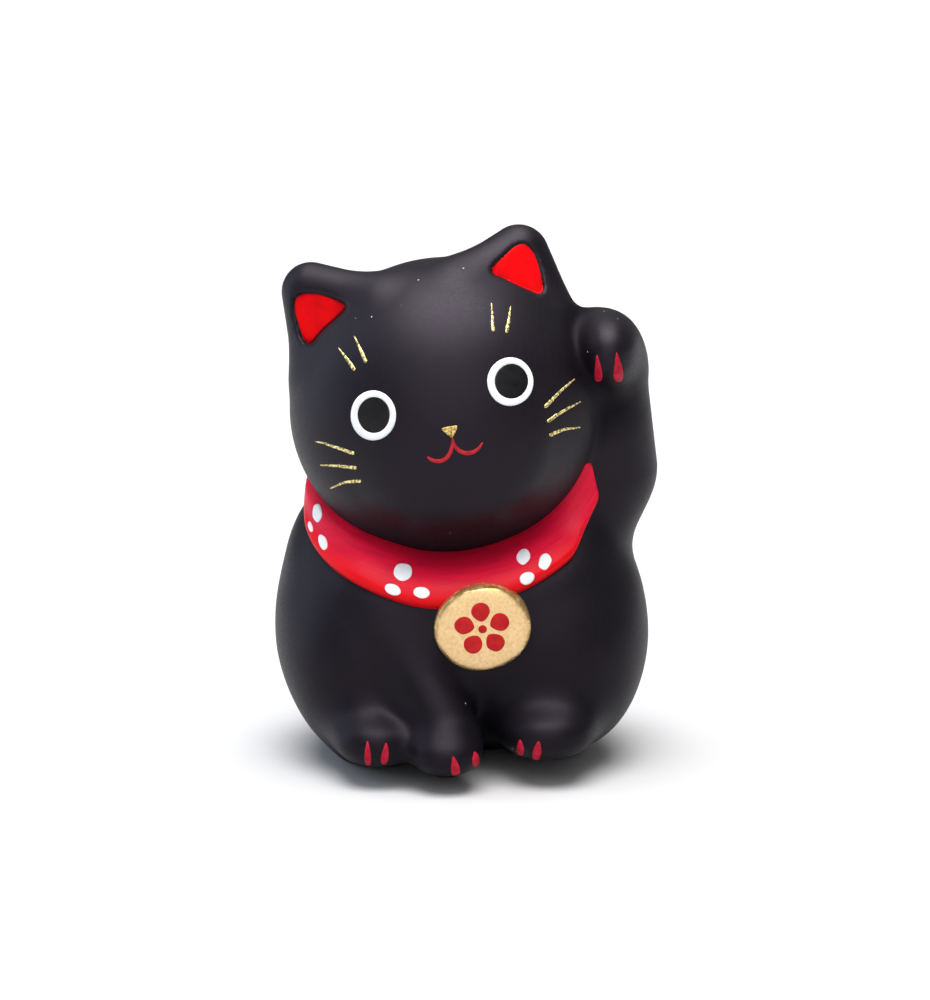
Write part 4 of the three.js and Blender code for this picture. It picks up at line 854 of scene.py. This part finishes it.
DOTS = {
    "left_upper": ([-20.921, 33.623], (0.65, 1.32), 0),
    "left_middle": ([-21.898, 31.654], (0.31, 0.76), 14),
    "left_lower": ([-20.127, 29.473], (0.59, 1.12), 18),
    "centre_top": ([-8.796, 25.252], (1.29, 1.27), 0),
    "centre_left": ([-10.227, 22.759], (1.22, 0.74), -20),
    "centre_right": ([-6.147, 22.334], (1.18, 0.79), -12),
    "right_inner": ([8.272, 27.433], (0.92, 1.13), -16),
    "right_outer": ([11.317, 26.725], (0.86, 1.19), -18),
    "right_lower": ([8.782, 24.359], (1.10, 0.84), 26),
}
for i, (k, (c, r, tilt)) in enumerate(DOTS.items()):
    o = oval(c, r, 48, tilt)
    o = c + (o - c) * wobble(48, 0.05, 300 + i, 4)[:, None]
    v, f = blob(o, collar, 0.1, 0.25)
    piece(f"dot_paint_{k}", v, outward(v, f), WHITE, [f"dot_{k}"])

# ------------------------------------------------------------------ medallion
MED_C, MED_R, MED_TILT, MED_Y, MED_LEAN = np.array([2.49, 17.14]), (6.93, 5.95), 10.0, -22.4, math.radians(3)
normal = np.array([0, -math.cos(MED_LEAN), -math.sin(MED_LEAN)])
origin = TARGET + BACK * EYE


def on_plane(uv, point, n):
    uv = np.asarray(uv, float)
    d = TARGET + np.outer(uv[:, 0], [1, 0, 0]) + np.outer(uv[:, 1] - LEVEL, UP) - origin
    t = ((point - origin) @ n) / (d @ n)
    return origin + d * t[:, None]


centre = on_plane([MED_C], np.array([0, MED_Y, 0]), np.array([0, -1.0, 0]))[0]
N = 128
rim = oval(MED_C, MED_R, N, MED_TILT)
rim = MED_C + (rim - MED_C) * wobble(N, 0.012, 5, 6)[:, None]
# from the middle out: [share of the radius, height of the face]
profile = [(0.12, 0.46), (0.25, 0.45), (0.4, 0.43), (0.55, 0.4), (0.68, 0.36), (0.78, 0.31), (0.85, 0.25), (0.9, 0.17), (0.94, 0.05), (0.97, -0.12), (0.99, -0.36), (1.0, -0.66), (0.998, -1.2), (0.99, -3.2), (0.6, -4.6)]
rows = []
for k, h in profile:
    w = wobble(N, 0.02 if 0.8 < k < 0.99 else 0.004, 60 + int(k * 100), 9) if k < 1 else np.ones(N)
    q = on_plane(MED_C + (rim - MED_C) * (k * np.minimum(w, 1 / k))[:, None], centre, normal)
    rows.append(q + normal * h)
v = np.vstack(rows + [on_plane([MED_C], centre, normal) + normal * 0.465, on_plane([MED_C], centre, normal) - normal * 4.6])
f = []
for r in range(len(profile) - 1):
    for c in range(N):
        d = (c + 1) % N
        f.append([r * N + c, r * N + d, (r + 1) * N + d, (r + 1) * N + c])
last = (len(profile) - 1) * N
for c in range(N):
    d = (c + 1) % N
    f.append([d, c, len(v) - 2])
    f.append([last + c, last + d, len(v) - 1])
disc = piece("medallion_gilt", v, outward(v, f), GOLD_DISC, ["medallion_disc"])
share = np.concatenate([np.full(N, k if i < 12 else 1.0) for i, (k, _) in enumerate(profile)] + [[0.0, 1.0]])
attribute(disc, "rim", share)


def medallion_face(p):
    h = (p - centre) @ normal
    q = on_face(p)
    ks = np.array([0.0] + [k for k, _ in profile[:12]])
    hs = np.array([0.465] + [x for _, x in profile[:12]])
    return h - np.interp(q, ks, hs)


def on_face(p):
    x, z = p[:, 0] - centre[0], (p[:, 2] - centre[2]) / math.cos(MED_LEAN)
    t = math.radians(MED_TILT)
    a, b = x * math.cos(t) + z * math.sin(t), -x * math.sin(t) + z * math.cos(t)
    return np.sqrt((a / MED_R[0]) ** 2 + (b / (MED_R[1] * 1.015)) ** 2)


petals = []
for i in range(5):
    a = math.radians(90 + MED_TILT * 0.6 + i * 72)
    m = MED_C + np.array([math.cos(a), math.sin(a) * 0.93]) * 2.62
    th = np.arange(40) / 40 * 2 * math.pi
    lx, ly = np.cos(th) * 1.42, np.sin(th) * 1.36
    lx = np.where(lx < 0, lx * (1.0 - 0.12 * np.abs(np.sin(th))), lx)
    ly = ly * (1 - 0.18 * (lx < 0) * np.abs(lx) / 1.42)
    o = np.stack([m[0] + lx * math.cos(a) - ly * math.sin(a), m[1] + (lx * math.sin(a) + ly * math.cos(a)) * 0.95], 1)
    o = m + (o - m) * wobble(40, 0.03, 400 + i, 4)[:, None]
    petals.append(blob(o, medallion_face, 0.09, 0.3))
petals.append(blob(oval(MED_C, (0.62, 0.58), 32), medallion_face, 0.09, 0.25))
v, f = joined(petals)
piece("medallion_blossom_paint", v, f, BLOSSOM_RED, ["medallion_blossom"])

# ------------------------------------------------------------------ stage, light, camera
def area(name, place, aim, size, power, colour=(1, 1, 1)):
    d = bpy.data.lights.new(name, "AREA")
    d.shape, d.size, d.size_y = "RECTANGLE", size[0], size[1]
    d.energy, d.color = power, colour
    o = bpy.data.objects.new(name, d)
    bpy.context.scene.collection.objects.link(o)
    o.location = place
    o.rotation_mode = "QUATERNION"
    o.rotation_quaternion = (Vector(aim) - Vector(place)).to_track_quat("-Z", "Y")
    return o


mesh = bpy.data.meshes.new("floor")
mesh.from_pydata([(-6, -6, 0), (6, -6, 0), (6, 9, 0), (-6, 9, 0)], [], [(0, 1, 2, 3)])
floor = bpy.data.objects.new("floor", mesh)
bpy.context.scene.collection.objects.link(floor)
m, t, b = new_material("pale_floor")
b.inputs["Base Color"].default_value = (0.50, 0.50, 0.505, 1)
b.inputs["Roughness"].default_value = 0.9
b.inputs["Specular IOR Level"].default_value = 0.1
mesh.materials.append(m)

world = bpy.data.worlds.new("studio")
bpy.context.scene.world = world
world.use_nodes = True
world.node_tree.nodes["Background"].inputs["Color"].default_value = (0.95, 0.97, 1.0, 1)
world.node_tree.nodes["Background"].inputs["Strength"].default_value = 0.2
bpy.context.scene.view_settings.view_transform = "Standard"



def sun(name, elevation, side, energy, angle, colour=(1, 1, 1)):
    d = bpy.data.lights.new(name, "SUN")
    d.energy, d.angle, d.color = energy, math.radians(angle), colour
    o = bpy.data.objects.new(name, d)
    bpy.context.scene.collection.objects.link(o)
    e, a = math.radians(elevation), math.radians(side)
    o.rotation_mode = "QUATERNION"
    o.rotation_quaternion = Vector((-math.sin(a) * math.cos(e), math.cos(a) * math.cos(e), -math.sin(e))).to_track_quat("-Z", "Y")
    return o


sun("overhead", 80, 0, 5.0, 52, (1.0, 0.985, 0.985))
sun("back", 108, 0, 1.1, 50)
sun("front", 30, 0, 1.2, 56)
area("left_fill", (-0.60, 0.10, 0.28), (0, 0, 0.04), (0.5, 0.6), 1.6, (0.64, 0.80, 1.0))

cam = bpy.data.cameras.new("camera")
cam.lens, cam.sensor_width, cam.sensor_fit = 132.16, 36.0, "AUTO"
cam.clip_start, cam.clip_end = 0.01, 50
camera = bpy.data.objects.new("camera", cam)
bpy.context.scene.collection.objects.link(camera)
target = (TARGET + SHIFT) * MM
place = target + BACK * EYE * MM
camera.location = place
camera.rotation_mode = "QUATERNION"
camera.rotation_quaternion = (Vector(target) - Vector(place)).to_track_quat("-Z", "Y")
bpy.context.scene.camera = camera
